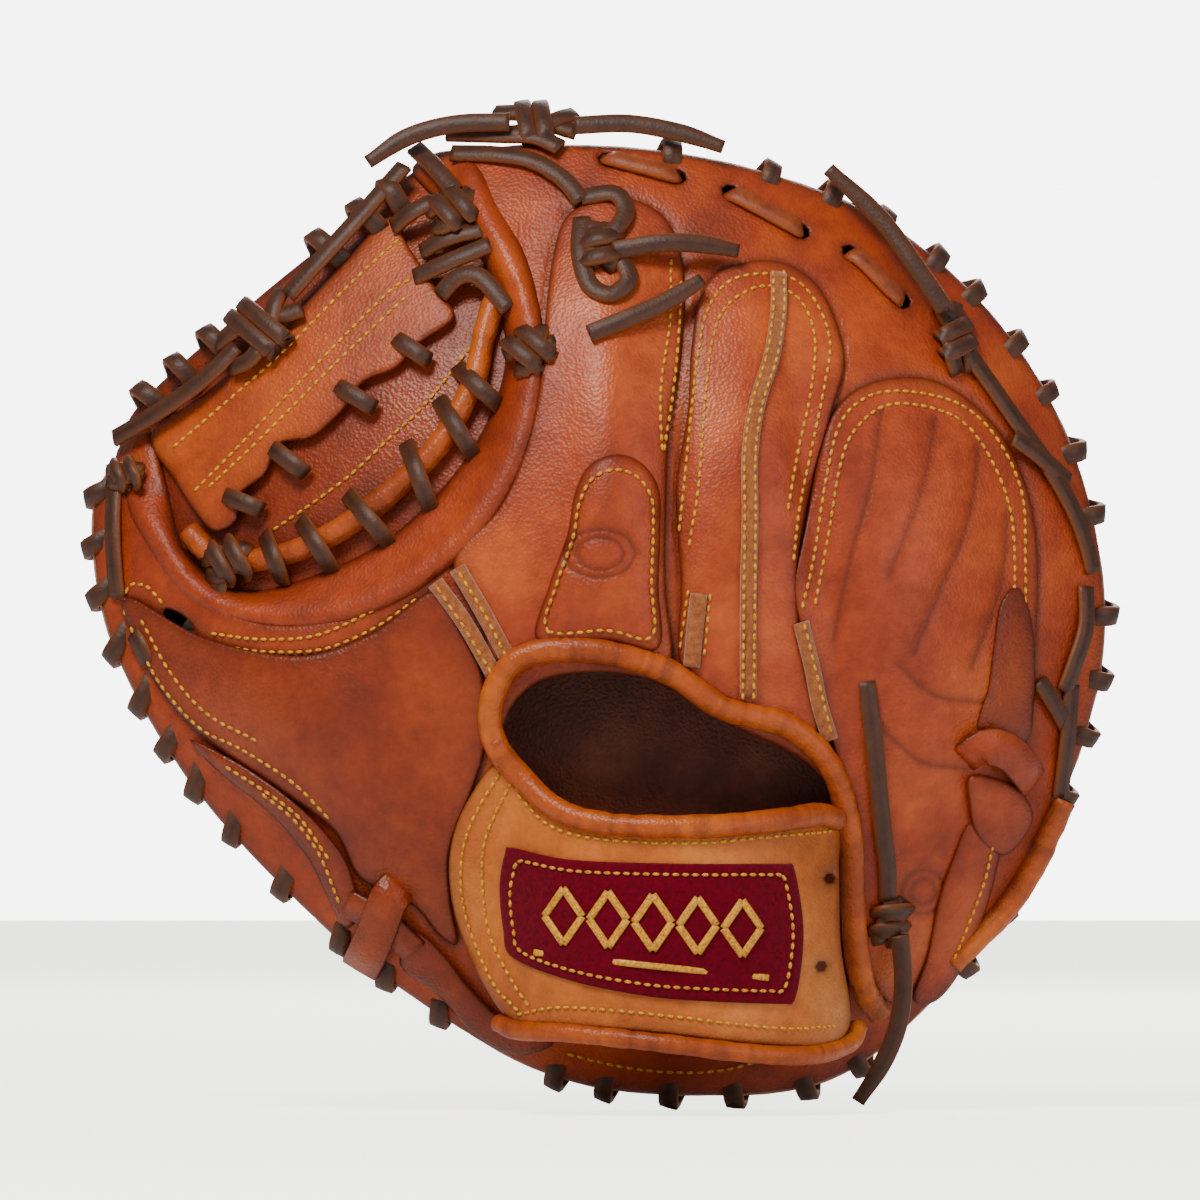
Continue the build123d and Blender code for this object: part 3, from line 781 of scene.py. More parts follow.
# ---------------------------------------------------------------- panels
@dataclass
class LeatherPanel:
    """A cut of leather laid over one of the mitt's surfaces, with a rounded edge and grooves."""

    name: str
    outline: Plan
    finish: Finish
    level: Level = FORM.back
    holes: Sequence[Plan] = ()
    lift: float = 0.0
    thick: float = 2.2
    roll: float = 1.3
    puff: float = 0.0
    puff_run: float = 14.0
    grid: float = 2.6
    facing: Facing = Facing.BACK
    rings: tuple[float, ...] = (0.35, 0.9, 1.8, 3.4)
    grooves: Sequence[np.ndarray] = ()
    groove_depth: float = 0.5
    groove_width: float = 0.9
    wrinkles: Callable[[np.ndarray, np.ndarray], np.ndarray] | None = None
    # how dark the cut edge goes: partly the edge's own dye, partly painted shade where the panel rolls down
    # to its seam
    edge_dye_and_shade: float = 0.75
    smooth: bool = True

    def borders(self) -> list[np.ndarray]:
        """The outline and the holes as evenly divided rings.

        Returns:
            One ring of plan points for the outline, then one for each hole.
        """
        rings = []
        for ring in (self.outline, *self.holes):
            rings.append(smooth_line(ring, 1.7, closed=True) if self.smooth else divided(ring, 1.7))
        return rings

    def fill(self, borders: list[np.ndarray]) -> tuple[np.ndarray, list[tuple[int, ...]]]:
        """Triangulates the panel's plan.

        Args:
            borders: the outline first, then the holes.

        Returns:
            The plan points, border points first, and the triangles.
        """
        lines = borders
        loose = []
        for ring in lines:
            run = np.roll(ring, -1, axis=0) - np.roll(ring, 1, axis=0)
            run /= np.linalg.norm(run, axis=1)[:, None]
            for gap in self.rings:
                for side in (1, -1):
                    moved = ring + side * gap * np.column_stack([-run[:, 1], run[:, 0]])
                    near = self.room(moved[:, 0], moved[:, 1], lines)
                    loose.append(moved[(near > gap * 0.9) & self.within(moved, borders)])
        for line in self.grooves:
            run = np.gradient(line, axis=0)
            run /= np.maximum(np.linalg.norm(run, axis=1)[:, None], 1e-9)
            for gap in (-self.groove_width, 0, self.groove_width):
                moved = line + gap * np.column_stack([-run[:, 1], run[:, 0]])
                near = self.room(moved[:, 0], moved[:, 1], lines)
                loose.append(moved[(near > 0.3) & self.within(moved, borders)])
        low, high = borders[0].min(0), borders[0].max(0)
        gx, gz = np.meshgrid(np.arange(low[0], high[0], self.grid),
                             np.arange(low[1], high[1], self.grid * 0.87))
        gx[1::2] += self.grid / 2
        cells = np.column_stack([gx.ravel(), gz.ravel()])
        taken = self.rings[-1] if self.rings else 0.5
        keep = self.within(cells, borders)
        cells = cells[keep]
        cells = cells[self.room(cells[:, 0], cells[:, 1], lines) > taken + 0.45 * self.grid]
        for line in self.grooves:
            cells = cells[away_from(cells[:, 0], cells[:, 1], line) > self.groove_width + 0.6]
        loose.append(cells)
        points = np.vstack([*borders, *loose])
        edges, at = [], 0
        for ring in borders:
            n = len(ring)
            edges += [(at + i, at + (i + 1) % n) for i in range(n)]
            at += n
        found = delaunay_2d_cdt([Vector(p) for p in points], edges, [], 0, 1e-5)
        xy = np.array([tuple(p) for p in found[0]])
        first = {}
        for new, old in enumerate(found[3]):
            for k in old:
                first[k] = new
        tris = np.array([f for f in found[2] if len(f) == 3], int)
        mid = xy[tris].mean(1)
        tris = tris[self.within(mid, borders)]
        used = np.unique(tris)
        renumber = -np.ones(len(xy), int)
        renumber[used] = np.arange(len(used))
        return xy[used], [tuple(t) for t in renumber[tris]]

    @staticmethod
    def room(x: np.ndarray, z: np.ndarray, lines: list[np.ndarray]) -> np.ndarray:
        """Distance to the nearest border.

        Args:
            x: Plan places across, in mm.
            z: Plan places up, in mm.
            lines: The border lines.

        Returns:
            Distances in mm, one for each place.
        """
        return np.min([away_from(x, z, line, closed=True) for line in lines], axis=0)

    @staticmethod
    def within(places: np.ndarray, borders: list[np.ndarray]) -> np.ndarray:
        """Whether places are on the leather.

        Args:
            places: Plan places to test.
            borders: The outline, then the holes.

        Returns:
            True for each place on the leather.
        """
        keep = inside(places[:, 0], places[:, 1], borders[0])
        for hole in borders[1:]:
            keep &= ~inside(places[:, 0], places[:, 1], hole)
        return keep

    def build(self) -> bpy.types.Object:
        """Makes the closed panel.

        Returns:
            The panel's object, not yet attached.
        """
        borders = self.borders()
        xz, tris = self.fill(borders)
        x, z = xz[:, 0], xz[:, 1]
        room = self.room(x, z, borders)
        out = self.facing.value
        drop = self.roll * (1 - np.sqrt(np.clip(1 - (1 - np.clip(room / self.roll, 0, 1)) ** 2, 0, 1)))
        crown = self.puff * ease(room / self.puff_run)
        groove = np.zeros(len(x))
        for line in self.grooves:
            groove = np.maximum(groove, np.exp(-(away_from(x, z, line) / self.groove_width) ** 2))
        rise = self.lift - drop + crown - self.groove_depth * groove
        if self.wrinkles is not None:
            rise = rise + self.wrinkles(x, z) * ease(room / 8.0)
        level = self.level(x, z)
        top = np.column_stack([x, level + out * rise, z])
        under = np.column_stack([x, level + out * (self.lift - self.thick), z])
        n = len(x)
        faces = []
        count: dict[tuple[int, int], tuple[int, int]] = {}
        for a, b, c in tris:
            area = (xz[b] - xz[a])[0] * (xz[c] - xz[a])[1] - (xz[b] - xz[a])[1] * (xz[c] - xz[a])[0]
            if area < 0:
                b, c = c, b
            if out > 0:
                b, c = c, b
            faces.append((a, b, c))
            faces.append((a + n, c + n, b + n))
            for p, q in ((a, b), (b, c), (c, a)):
                count[(p, q)] = (p, q)
        for p, q in list(count):
            if (q, p) not in count:
                faces.append((q, p, p + n, q + n))
        # the cut edge is darkened partly by its own dye and partly by painted shade where it rolls down; the
        # underside takes a fixed share
        edge = self.edge_dye_and_shade * np.exp(-room / 1.6)
        # the groove mark paints shade along the seam grooves
        marks = {"edge": np.concatenate([edge, np.full(n, 0.3)]),
                 "groove": np.concatenate([0.55 * groove, np.zeros(n)])}
        return SHOP.mesh(self.name, np.vstack([top, under]), faces, self.finish, marks)


def oval(x: float, z: float, long: float, short: float, turn: float) -> Plan:
    """An oval in the plan: its middle, its two half sizes and its turn in degrees.

    Args:
        x: Its middle across, in mm.
        z: Its middle up, in mm.
        long: Its longer half size.
        short: Its shorter half size.
        turn: Its turn in the plan.

    Returns:
        The points of the oval.
    """
    c, s = math.cos(math.radians(turn)), math.sin(math.radians(turn))
    ring = [(long * math.cos(t), short * math.sin(t)) for t in np.linspace(0, 2 * math.pi, 9)[:-1]]
    return [(x + u * c - v * s, z + u * s + v * c) for u, v in ring]


def divided(ring: Plan, step: float) -> np.ndarray:
    """A straight-sided ring, divided evenly and keeping its corners.

    Args:
        ring: The corners of the ring.
        step: The distance wanted between points.

    Returns:
        The points of the divided ring.
    """
    p = np.array(ring, float)
    out = []
    for a, b in zip(p, np.roll(p, -1, axis=0)):
        count = max(1, round(np.linalg.norm(b - a) / step))
        out.append(a + (b - a) * np.linspace(0, 1, count, endpoint=False)[:, None])
    return np.vstack(out)


# ---------------------------------------------------------------- laces, thongs and rolls
def over(level: Level, points: Sequence[Sequence[float]], facing: Facing = Facing.BACK) -> np.ndarray:
    """Raises plan points (x, z, lift) off a surface, along the depth axis.

    Args:
        level: The surface, as its depth at plan places.
        points: Plan points, each with its lift.
        facing: The side to lift towards.

    Returns:
        The raised points in space.
    """
    p = np.array(points, float)
    y = level(p[:, 0], p[:, 1]) + facing.value * p[:, 2]
    return np.column_stack([p[:, 0], y, p[:, 1]])


@dataclass
class Strip:
    """A flat lace or thong that follows a line, with rounded corners and paler cut edges."""

    width: float = 5.2
    thick: float = 2.0
    step: float = 1.6

    def sweep(self, path: np.ndarray, face: np.ndarray, twist: float = 0.0,
              taper: float = 0.0) -> tuple[np.ndarray, list, np.ndarray]:
        """Sweeps the strip's section along a path.

        Args:
            path: points of the middle line, in mm.
            face: the way the strip's face looks, one direction or one for each point.
            twist: turns the face this many degrees by the end of the path.
            taper: narrows the last part of the strip by this share.

        Returns:
            Points, faces and the marks of the cut edges.
        """
        line = smooth_line(path, self.step) if len(path) > 2 else np.array(path, float)
        hints = np.broadcast_to(np.asarray(face, float), (1, 3)) if np.ndim(face) == 1 else face
        share = np.linspace(0, 1, len(line))
        hint = np.column_stack([
            np.interp(share, np.linspace(0, 1, len(hints)), hints[:, k]) for k in range(3)])
        along = np.gradient(line, axis=0)
        along /= np.linalg.norm(along, axis=1)[:, None]
        side = np.cross(along, hint)
        side /= np.maximum(np.linalg.norm(side, axis=1)[:, None], 1e-9)
        up = np.cross(side, along)
        turn = np.radians(twist) * share[:, None]
        side, up = side * np.cos(turn) + up * np.sin(turn), up * np.cos(turn) - side * np.sin(turn)
        w, t = self.width / 2, self.thick / 2
        c = min(t * 0.8, w * 0.5)
        section = np.array([(-w, -t + c), (-w, t - c), (-w + c * 0.5, t), (0, t * 1.12),
                            (w - c * 0.5, t), (w, t - c), (w, -t + c), (w - c * 0.5, -t),
                            (0, -t), (-w + c * 0.5, -t)])
        rim = np.array([0.9, 0.9, 0.25, 0, 0.25, 0.9, 0.9, 0.25, 0, 0.25])
        k = len(section)
        narrow = 1 - taper * ease((share - 0.7) / 0.3)
        points = (line[:, None, :] + side[:, None, :] * (section[:, 0][None, :, None]
                  * narrow[:, None, None]) + up[:, None, :] * section[:, 1][None, :, None])
        faces = []
        for i in range(len(line) - 1):
            for j in range(k):
                a, b = i * k + j, i * k + (j + 1) % k
                faces.append((a, b, b + k, a + k))
        faces.append(tuple(range(k - 1, -1, -1)))
        faces.append(tuple((len(line) - 1) * k + j for j in range(k)))
        return points.reshape(-1, 3), faces, np.tile(rim, len(line))


def join(parts: Sequence[tuple[np.ndarray, list, np.ndarray]]) -> tuple[np.ndarray, list, np.ndarray]:
    """Joins swept parts into one list of points, faces and marks.

    Args:
        parts: The swept parts.

    Returns:
        The points, the faces and the marks of all parts.
    """
    points, faces, marks, at = [], [], [], 0
    for p, f, m in parts:
        points.append(p)
        faces += [tuple(i + at for i in face) for face in f]
        marks.append(m)
        at += len(p)
    return np.vstack(points), faces, np.concatenate(marks)


def outward(points: np.ndarray, faces: list) -> list:
    """Turns every face round if the closed mesh came out inside out.

    Args:
        points: The points of a closed mesh.
        faces: Its faces.

    Returns:
        The faces, facing outwards.
    """
    volume = 0.0
    for f in faces:
        a = points[f[0]]
        for i in range(1, len(f) - 1):
            volume += float(np.dot(a, np.cross(points[f[i]], points[f[i + 1]])))
    return faces if volume > 0 else [tuple(reversed(f)) for f in faces]


def finish_strips(name: str, parts: Sequence[tuple[np.ndarray, list, np.ndarray]],
                  finish: Finish) -> bpy.types.Object:
    """Makes one object of several swept strips, each facing outwards.

    Args:
        name: The name of the object.
        parts: The swept strips.
        finish: The finish that they share.

    Returns:
        The new object.
    """
    fixed = [(p, outward(p, f), m) for p, f, m in parts]
    points, faces, rim = join(fixed)
    return SHOP.mesh(name, points, faces, finish, {"edge": rim})


@dataclass
class Roll:
    """A round binding rolled over an edge, with small wrinkles across it."""

    radius: float = 3.2
    sides: int = 14
    step: float = 1.3
    wrinkle: float = 0.05
    seed: int = 3

    def sweep(self, path: np.ndarray, closed: bool = False, flat: float = 1.0,
              face: Sequence[float] = (0, -1, 0)) -> tuple[np.ndarray, list, np.ndarray]:
        """Sweeps the roll along a path.

        Args:
            path: the middle line's points.
            closed: whether it joins its start.
            flat: the section's height as a share of its width.
            face: the way the flattened side looks.

        Returns:
            Points, faces and marks.
        """
        line = smooth_line(path, self.step, closed=closed)
        n = len(line)
        if closed:
            along = np.roll(line, -1, axis=0) - np.roll(line, 1, axis=0)
        else:
            along = np.gradient(line, axis=0)
        along /= np.linalg.norm(along, axis=1)[:, None]
        side = np.cross(along, np.array(face, float))
        side /= np.maximum(np.linalg.norm(side, axis=1)[:, None], 1e-9)
        up = np.cross(side, along)
        rng = np.random.default_rng(self.seed)
        wave = np.convolve(rng.normal(0, 1, n + 8), np.ones(3) / 3, "same")[4:4 + n]
        if closed:
            wave[-4:] *= np.linspace(1, 0, 4)
            wave[:4] *= np.linspace(0, 1, 4)
        turn = np.linspace(0, 2 * math.pi, self.sides, endpoint=False)
        r = self.radius * (1 + self.wrinkle * wave[:, None] * (0.6 + 0.4 * np.cos(2 * turn)[None]))
        points = (line[:, None] + side[:, None] * (r * np.cos(turn))[..., None]
                  + up[:, None] * (r * flat * np.sin(turn))[..., None])
        faces, k = [], self.sides
        for i in range(n if closed else n - 1):
            for j in range(k):
                a, b = i * k + j, i * k + (j + 1) % k
                c, d = ((i + 1) % n) * k + (j + 1) % k, ((i + 1) % n) * k + j
                faces.append((a, b, c, d))
        if not closed:
            faces.append(tuple(range(k - 1, -1, -1)))
            faces.append(tuple((n - 1) * k + j for j in range(k)))
        # darker where the wrinkles swell or pinch the roll: painted shade in its wrinkles
        marks = np.clip(0.35 * np.abs(wave)[:, None] + 0 * turn[None], 0, 0.6).ravel()
        return points.reshape(-1, 3), faces, marks


# ---------------------------------------------------------------- stitching by geometry nodes
@dataclass
class Stitching:
    """Rows of lockstitch laid on the leather, made by one geometry node tree."""

    pitch: float = 2.7
    length: float = 2.25
    width: float = 1.05
    tree: bpy.types.NodeTree | None = None

    def node_tree(self) -> bpy.types.NodeTree:
        """The tree: lines in, evenly spaced stitches out.

        Returns:
            The node tree.
        """
        if self.tree is not None:
            return self.tree
        tree = bpy.data.node_groups.new("stitch_rows", "GeometryNodeTree")
        face = tree.interface
        face.new_socket("Lines", in_out="INPUT", socket_type="NodeSocketGeometry")
        for label, value in (("Pitch", self.pitch), ("Length", self.length), ("Width", self.width)):
            socket = face.new_socket(label, in_out="INPUT", socket_type="NodeSocketFloat")
            socket.default_value = value * MM
        face.new_socket("Thread", in_out="INPUT", socket_type="NodeSocketMaterial")
        face.new_socket("Stitches", in_out="OUTPUT", socket_type="NodeSocketGeometry")
        given = add_node(tree, "NodeGroupInput")
        curve = add_node(tree, "GeometryNodeMeshToCurve", {"Mesh": given.outputs["Lines"]})
        even = add_node(tree, "GeometryNodeResampleCurve", {"Curve": curve.outputs["Curve"],
                                                           "Length": given.outputs["Pitch"]},
                        mode="LENGTH")
        ball = add_node(tree, "GeometryNodeMeshUVSphere", values={"Segments": 6, "Rings": 5,
                                                                 "Radius": 0.5})
        along = add_node(tree, "GeometryNodeInputTangent")
        leather = add_node(tree, "GeometryNodeInputNamedAttribute", values={"Name": "face"},
                           data_type="FLOAT_VECTOR")
        aimed = add_node(tree, "FunctionNodeAlignRotationToVector", {"Vector": along.outputs[0]}, axis="X")
        laid = add_node(tree, "FunctionNodeAlignRotationToVector", {
            "Rotation": aimed.outputs[0], "Vector": leather.outputs["Attribute"]}, axis="Z",
            pivot_axis="X")
        size = add_node(tree, "ShaderNodeCombineXYZ", {0: given.outputs["Length"],
                                                      1: given.outputs["Width"],
                                                      2: given.outputs["Width"]})
        placed = add_node(tree, "GeometryNodeInstanceOnPoints", {
            "Points": even.outputs["Curve"], "Instance": ball.outputs["Mesh"],
            "Rotation": laid.outputs[0], "Scale": size.outputs[0]})
        real = add_node(tree, "GeometryNodeRealizeInstances", {0: placed.outputs["Instances"]})
        smooth = add_node(tree, "GeometryNodeSetShadeSmooth", {0: real.outputs[0]})
        dyed = add_node(tree, "GeometryNodeSetMaterial", {"Geometry": smooth.outputs[0],
                                                         "Material": given.outputs["Thread"]})
        add_node(tree, "NodeGroupOutput", {0: dyed.outputs[0]})
        self.tree = tree
        return tree

    def sew(self, name: str, rows: Sequence[tuple[Plan, Level, float]],
            facing: Facing = Facing.BACK) -> bpy.types.Object:
        """Sews rows of stitches as one piece.

        Args:
            name: the piece's name.
            rows: for each row its plan line, the surface that it lies on and its lift.
            facing: which side of the leather it shows on.

        Returns:
            The stitches as a plain mesh object.
        """
        points, edges, faces = [], [], []
        for plan, level, lift in rows:
            line = smooth_line(plan, 1.0) if len(plan) > 2 else divided_open(plan, 1.0)
            raised = over(level, np.column_stack([line, np.full(len(line), lift)]), facing)
            at = sum(len(p) for p in points)
            points.append(raised)
            faces.append(slope_normal(level, line[:, 0], line[:, 1], facing))
            edges += [(at + i, at + i + 1) for i in range(len(line) - 1)]
        data = bpy.data.meshes.new(name + "_lines")
        data.from_pydata((np.vstack(points) * MM).tolist(), edges, [])
        mark = data.attributes.new("face", "FLOAT_VECTOR", "POINT")
        mark.data.foreach_set("vector", np.vstack(faces).astype(np.float32).ravel())
        carrier = bpy.data.objects.new(name + "_lines", data)
        bpy.context.scene.collection.objects.link(carrier)
        modifier = carrier.modifiers.new("stitches", "NODES")
        tree = self.node_tree()
        modifier.node_group = tree
        names = {s.name: s.identifier for s in tree.interface.items_tree if s.in_out == "INPUT"}
        modifier[names["Pitch"]] = self.pitch * MM
        modifier[names["Length"]] = self.length * MM
        modifier[names["Width"]] = self.width * MM
        modifier[names["Thread"]] = SHOP.material(Finish.THREAD)
        carrier.update_tag()
        graph = bpy.context.evaluated_depsgraph_get()
        plain = bpy.data.meshes.new_from_object(carrier.evaluated_get(graph))
        bpy.data.objects.remove(carrier)
        return put(name, plain)


def divided_open(points: Plan, step: float) -> np.ndarray:
    """A straight line between two plan points, divided evenly.

    Args:
        points: The two ends of the line.
        step: The distance wanted between points.

    Returns:
        The points along the line.
    """
    a, b = np.array(points[0], float), np.array(points[-1], float)
    count = max(2, round(np.linalg.norm(b - a) / step) + 1)
    return a + (b - a) * np.linspace(0, 1, count)[:, None]


STITCHING = Stitching()


def lay(level: Level, points: Sequence[Sequence[float]], width: float = 5.2, thick: float = 2.0,
        facing: Facing = Facing.BACK, **extra: float) -> tuple[np.ndarray, list, np.ndarray]:
    """Lays a lace along plan points (x, z, lift) with its face to the leather's normal.

    Args:
        level: the surface under it.
        points: x, z and lift of each point of its middle line.
        width: the lace's width.
        thick: the lace's thickness.
        facing: the side of the leather that it is on.
        extra: the sweep's twist and taper.

    Returns:
        The swept lace, ready to be joined with others.
    """
    p = np.array(points, float)
    if len(p) == 2:
        p = np.vstack([p[0], p.mean(0), p[1]])
    normals = slope_normal(level, p[:, 0], p[:, 1], facing)
    return Strip(width, thick).sweep(over(level, p, facing), normals, **extra)


@dataclass(frozen=True)
class Knot:
    """A flat half hitch: two turns of lace side by side and a short turn across them."""

    x: float
    z: float
    wide: float
    high: float
    turn: float = 0.0
    lift: float = 2.6
    width: float = 5.2

    def parts(self, level: Level) -> list[tuple[np.ndarray, list, np.ndarray]]:
        """The knot's strands.

        Args:
            level: the surface that the knot sits on.

        Returns:
            The swept strands.
        """
        c, s = math.cos(math.radians(self.turn)), math.sin(math.radians(self.turn))
        a, b = self.wide / 2, self.high / 2

        def at(u: float, v: float, lift: float) -> tuple[float, float, float]:
            """A point given in the knot's own axes.

            Args:
                u: Place along the knot's first axis.
                v: Place along the knot's second axis.
                lift: Height off the leather.

            Returns:
                The point in space.
            """
            return (self.x + u * c - v * s, self.z + u * s + v * c, lift)

        low, mid, top = self.lift - 1.8, self.lift + 0.6, self.lift + 2.6
        w = min(self.width, self.high * 0.62)
        under = [at(-a, -b * 0.35, low), at(-a * 0.6, -b * 0.55, mid), at(0, -b * 0.35, mid),
                 at(a * 0.6, b * 0.2, mid), at(a * 0.95, b * 0.4, low)]
        other = [at(-a * 0.95, b * 0.5, low), at(-a * 0.5, b * 0.5, mid), at(0.1 * a, b * 0.3, mid),
                 at(a * 0.55, -b * 0.2, low + 1), at(a, -b * 0.5, low)]
        runs = [under, other]
        for shift in (-0.5, 0.5):
            u = shift * w * 0.95
            runs.append([at(u - w * 0.2, b * 0.95, low - 0.8), at(u - w * 0.15, b * 0.72, top - 1.2),
                         at(u, 0, top + 0.2 * shift), at(u + w * 0.15, -b * 0.72, top - 1.2),
                         at(u + w * 0.2, -b * 0.95, low - 0.8)])
        return [lay(level, run, w * 0.95, 2.4) for run in runs]


# ---------------------------------------------------------------- sub-assemblies
THUMB = [
    (-153, 119), (-131, 108), (-105, 103), (-85, 109), (-67, 121), (-60, 110), (-54, 97),
    (-53, 80), (-57, 66), (-63, 50), (-63, 36), (-61, 24), (-66, 26), (-74, 35), (-88, 42),
    (-95, 55), (-110, 66), (-125, 76), (-137, 86), (-147, 100),
]
INDEX = [
    (-62, 129), (-50, 143), (-43, 158), (-39, 175), (-37, 195), (-35, 212), (-31, 224), (-20, 229),
    (-9, 227), (-2, 220), (1, 206), (0, 185), (-3, 165), (-4, 140), (-4, 122), (-3, 100),
    (-18, 105), (-37, 106), (-50, 101), (-55, 112),
]
MIDDLE = [
    (-1, 140), (-1, 152), (2, 170), (3, 187), (6, 203), (14, 210), (28, 211), (39, 203), (45, 185),
    (41, 168), (36, 150), (32, 128), (33, 108), (38, 82), (24, 86), (10, 92), (0, 100), (0, 122),
]
PINKY = [
    (31, 122), (34, 137), (38, 158), (43, 171), (53, 178), (68, 179), (81, 172), (92, 158),
    (98, 137), (98, 108), (95, 76), (86, 48), (76, 27), (64, 10), (56, 8), (51, 20), (49, 40),
    (48, 60), (43, 74), (38, 92), (33, 110),
]
PAD = [
    (-39, 107), (-36, 122), (-31, 136), (-29, 147), (-25, 155), (-18, 158), (-11, 156),
    (-6, 149), (-5.5, 138), (-6, 122), (-6, 105), (-20, 107),
]
BACK_SHELL = [
    (-58, 240.5), (-22, 243.5), (19, 237.5), (57, 222.5), (88, 195), (108.5, 160), (117.5, 118),
    (112.5, 82), (96.5, 44), (75, 13), (44, -13.5), (6, -18.5), (-35, -13), (-75, 10), (-105, 35),
    (-135.5, 69), (-157, 107), (-162.5, 140), (-157, 153), (-146, 137), (-133, 120), (-115, 112), (-95, 113),
    (-75, 121), (-57, 136), (-45, 155), (-39, 180), (-42, 203), (-50, 220),
]


@dataclass
class BackHand:
    """The back of the mitt: shell, finger and thumb panels, suede welts, pad and bindings."""

    form: MittForm = FORM
    panel_lift: float = 1.8

    def build(self) -> None:
        """Makes and attaches every piece of the back."""
        self.shell()
        self.panels()
        self.welts()
        self.rolls()
        self.stitching()

    def shell(self) -> None:
        """The band that runs round the whole back, open at the hand and at the web."""
        collar_seam = smooth_line([(-75, 124), (-60, 137), (-50, 149), (-43, 161), (-39, 180),
                                   (-37, 200), (-35, 214), (-31, 226)], 1.5)
        seams = [collar_seam]
        for cut in (THUMB, INDEX, MIDDLE, PINKY):
            ring = smooth_line(cut, 1.6, closed=True)
            seams.append(np.vstack([ring, ring[:1]]))
        punched = [(-20, 239.5, 2.6, 1.7, -14), (-1, 234.8, 2.8, 1.8, -14), (14, 230.5, 2.6, 1.7, -25),
                   (33, 219.8, 2.8, 1.9, -28), (47, 213.8, 2.6, 1.7, -38), (61, 200.8, 2.8, 1.9, -42),
                   (-138, 112.6, 5.0, 1.8, -34)]
        holes = [MOUTH] + [oval(*hole) for hole in punched]
        shell = LeatherPanel("back_shell", BACK_SHELL, Finish.BODY, holes=holes, thick=2.4,
                             grooves=seams, groove_depth=0.9, groove_width=1.3).build()
        attach(shell, Finish.BODY, "finger_back_band", "thumb_gusset", "heel_facing")

    def panels(self) -> None:
        """The finger and thumb stalls, each a cut of leather sewn on the band."""
        ring, small = ([*oval(67, 38, r, r, 0), (67 + r, 38)] for r in (6.0, 3.4))
        folds = [
            smooth_line(line, 1.5) for line in (
                [(55, 170), (52, 150), (46, 128), (42, 108)], [(70, 168), (66, 148), (57, 125)],
                [(82, 160), (79, 140), (70, 118), (64, 104)], [(90, 142), (88, 122), (80, 100)],
                [(60, 100), (70, 92), (84, 90)], [(54, 84), (66, 74), (78, 72)])]
        cuts = [
            ("thumb_stall", THUMB, Finish.THUMB, "thumb_panel", [], 1.0),
            ("index_stall", INDEX, Finish.FINGER, "index_panel", [], 0.8),
            ("middle_ring_stall", MIDDLE, Finish.FINGER, "middle_ring_panel", [], 0.8),
            ("little_stall", PINKY, Finish.FINGER, "pinky_panel",
             folds + [smooth_line(ring, 1.0), smooth_line(small, 1.0)], 0.55),
        ]
        for name, line, finish, node, grooves, deep in cuts:
            made = LeatherPanel(name, line, finish, lift=self.panel_lift, thick=1.75, roll=1.3,
                                grooves=grooves, groove_depth=deep, groove_width=1.2).build()
            attach(made, finish, node)
        rings = [[*oval(-22, 131, r * 1.5, r, 0), (-22 + r * 1.5, 131)] for r in (6.5, 4.4)]
        pad = LeatherPanel("index_pad", PAD, Finish.FINGER, lift=self.panel_lift + 2.2, thick=2.4,
                           roll=1.8, puff=1.0, puff_run=7, grid=1.8,
                           grooves=[smooth_line(r, 1.0) for r in rings], groove_depth=0.6).build()
        attach(pad, Finish.FINGER, "index_pad")

    def welts(self) -> None:
        """The suede strips sewn over the seams."""
        runs = {
            "finger_welt": ("finger_welt", [[(27, 208), (27, 198), (25, 185), (21, 172), (19, 158),
                                             (19, 140), (18.5, 120), (18.5, 92)]]),
            "short_welts": ("short_welts", [[(5, 120), (4, 111), (3, 100)],
                                            [(33, 112), (36, 100), (38, 90), (41, 80)]]),
            "crotch_welts": (None, [[(-67, 123), (-59, 112), (-51, 98)],
                                    [(-61, 127), (-54, 115), (-47, 102)]]),
        }
        for name, (node, lines) in runs.items():
            parts = [lay(self.form.back, [(x, z, self.panel_lift + 0.8) for x, z in line], 4.6, 2.2)
                     for line in lines]
            made = finish_strips(name, parts, Finish.SUEDE)
            attach(made, Finish.SUEDE, *([node] if node else []))

    def rolls(self) -> None:
        """The binding rolled round the hand opening, and the lining inside."""
        path = [(55, 4), (51, 11), (48.5, 22), (47.5, 36), (47, 50), (45.5, 60), (42.5, 70),
                (37, 78), (29, 84), (20, 86.5), (12, 88.5), (5, 93), (-2, 98), (-12, 102),
                (-24, 104.5), (-37, 104.5), (-46, 101), (-51, 93), (-52, 84), (-49, 76), (-43, 69)]
        level = self.form.back
        line = over(level, [(x, z, self.panel_lift + 1.2) for x, z in path])
        roll = finish_strips("opening_roll", [Roll(3.4).sweep(line, flat=0.92)], Finish.BINDING)
        attach(roll, Finish.BINDING, "opening_binding")
        wide = [(-52, 108), (-20, 116), (20, 108), (48, 92), (56, 60), (54, 10), (40, -6), (0, -12),
                (-40, -8), (-56, 10), (-60, 50), (-58, 90)]
        floor = LeatherPanel("hand_lining", wide, Finish.LINING, level=self.lining_level, thick=1.2,
                             grid=5.0, rings=(1.0,)).build()
        attach(floor, Finish.LINING, "palm_liner", "finger_lining")

    def lining_level(self, x: np.ndarray, z: np.ndarray) -> np.ndarray:
        """Depth of the lining that the palm of the hand rests on.

        Args:
            x: Plan places across, in mm.
            z: Plan places up, in mm.

        Returns:
            Depths along Y, in mm, one for each place.
        """
        return np.maximum(3.0, self.form.dome(x, z) + 6.0)

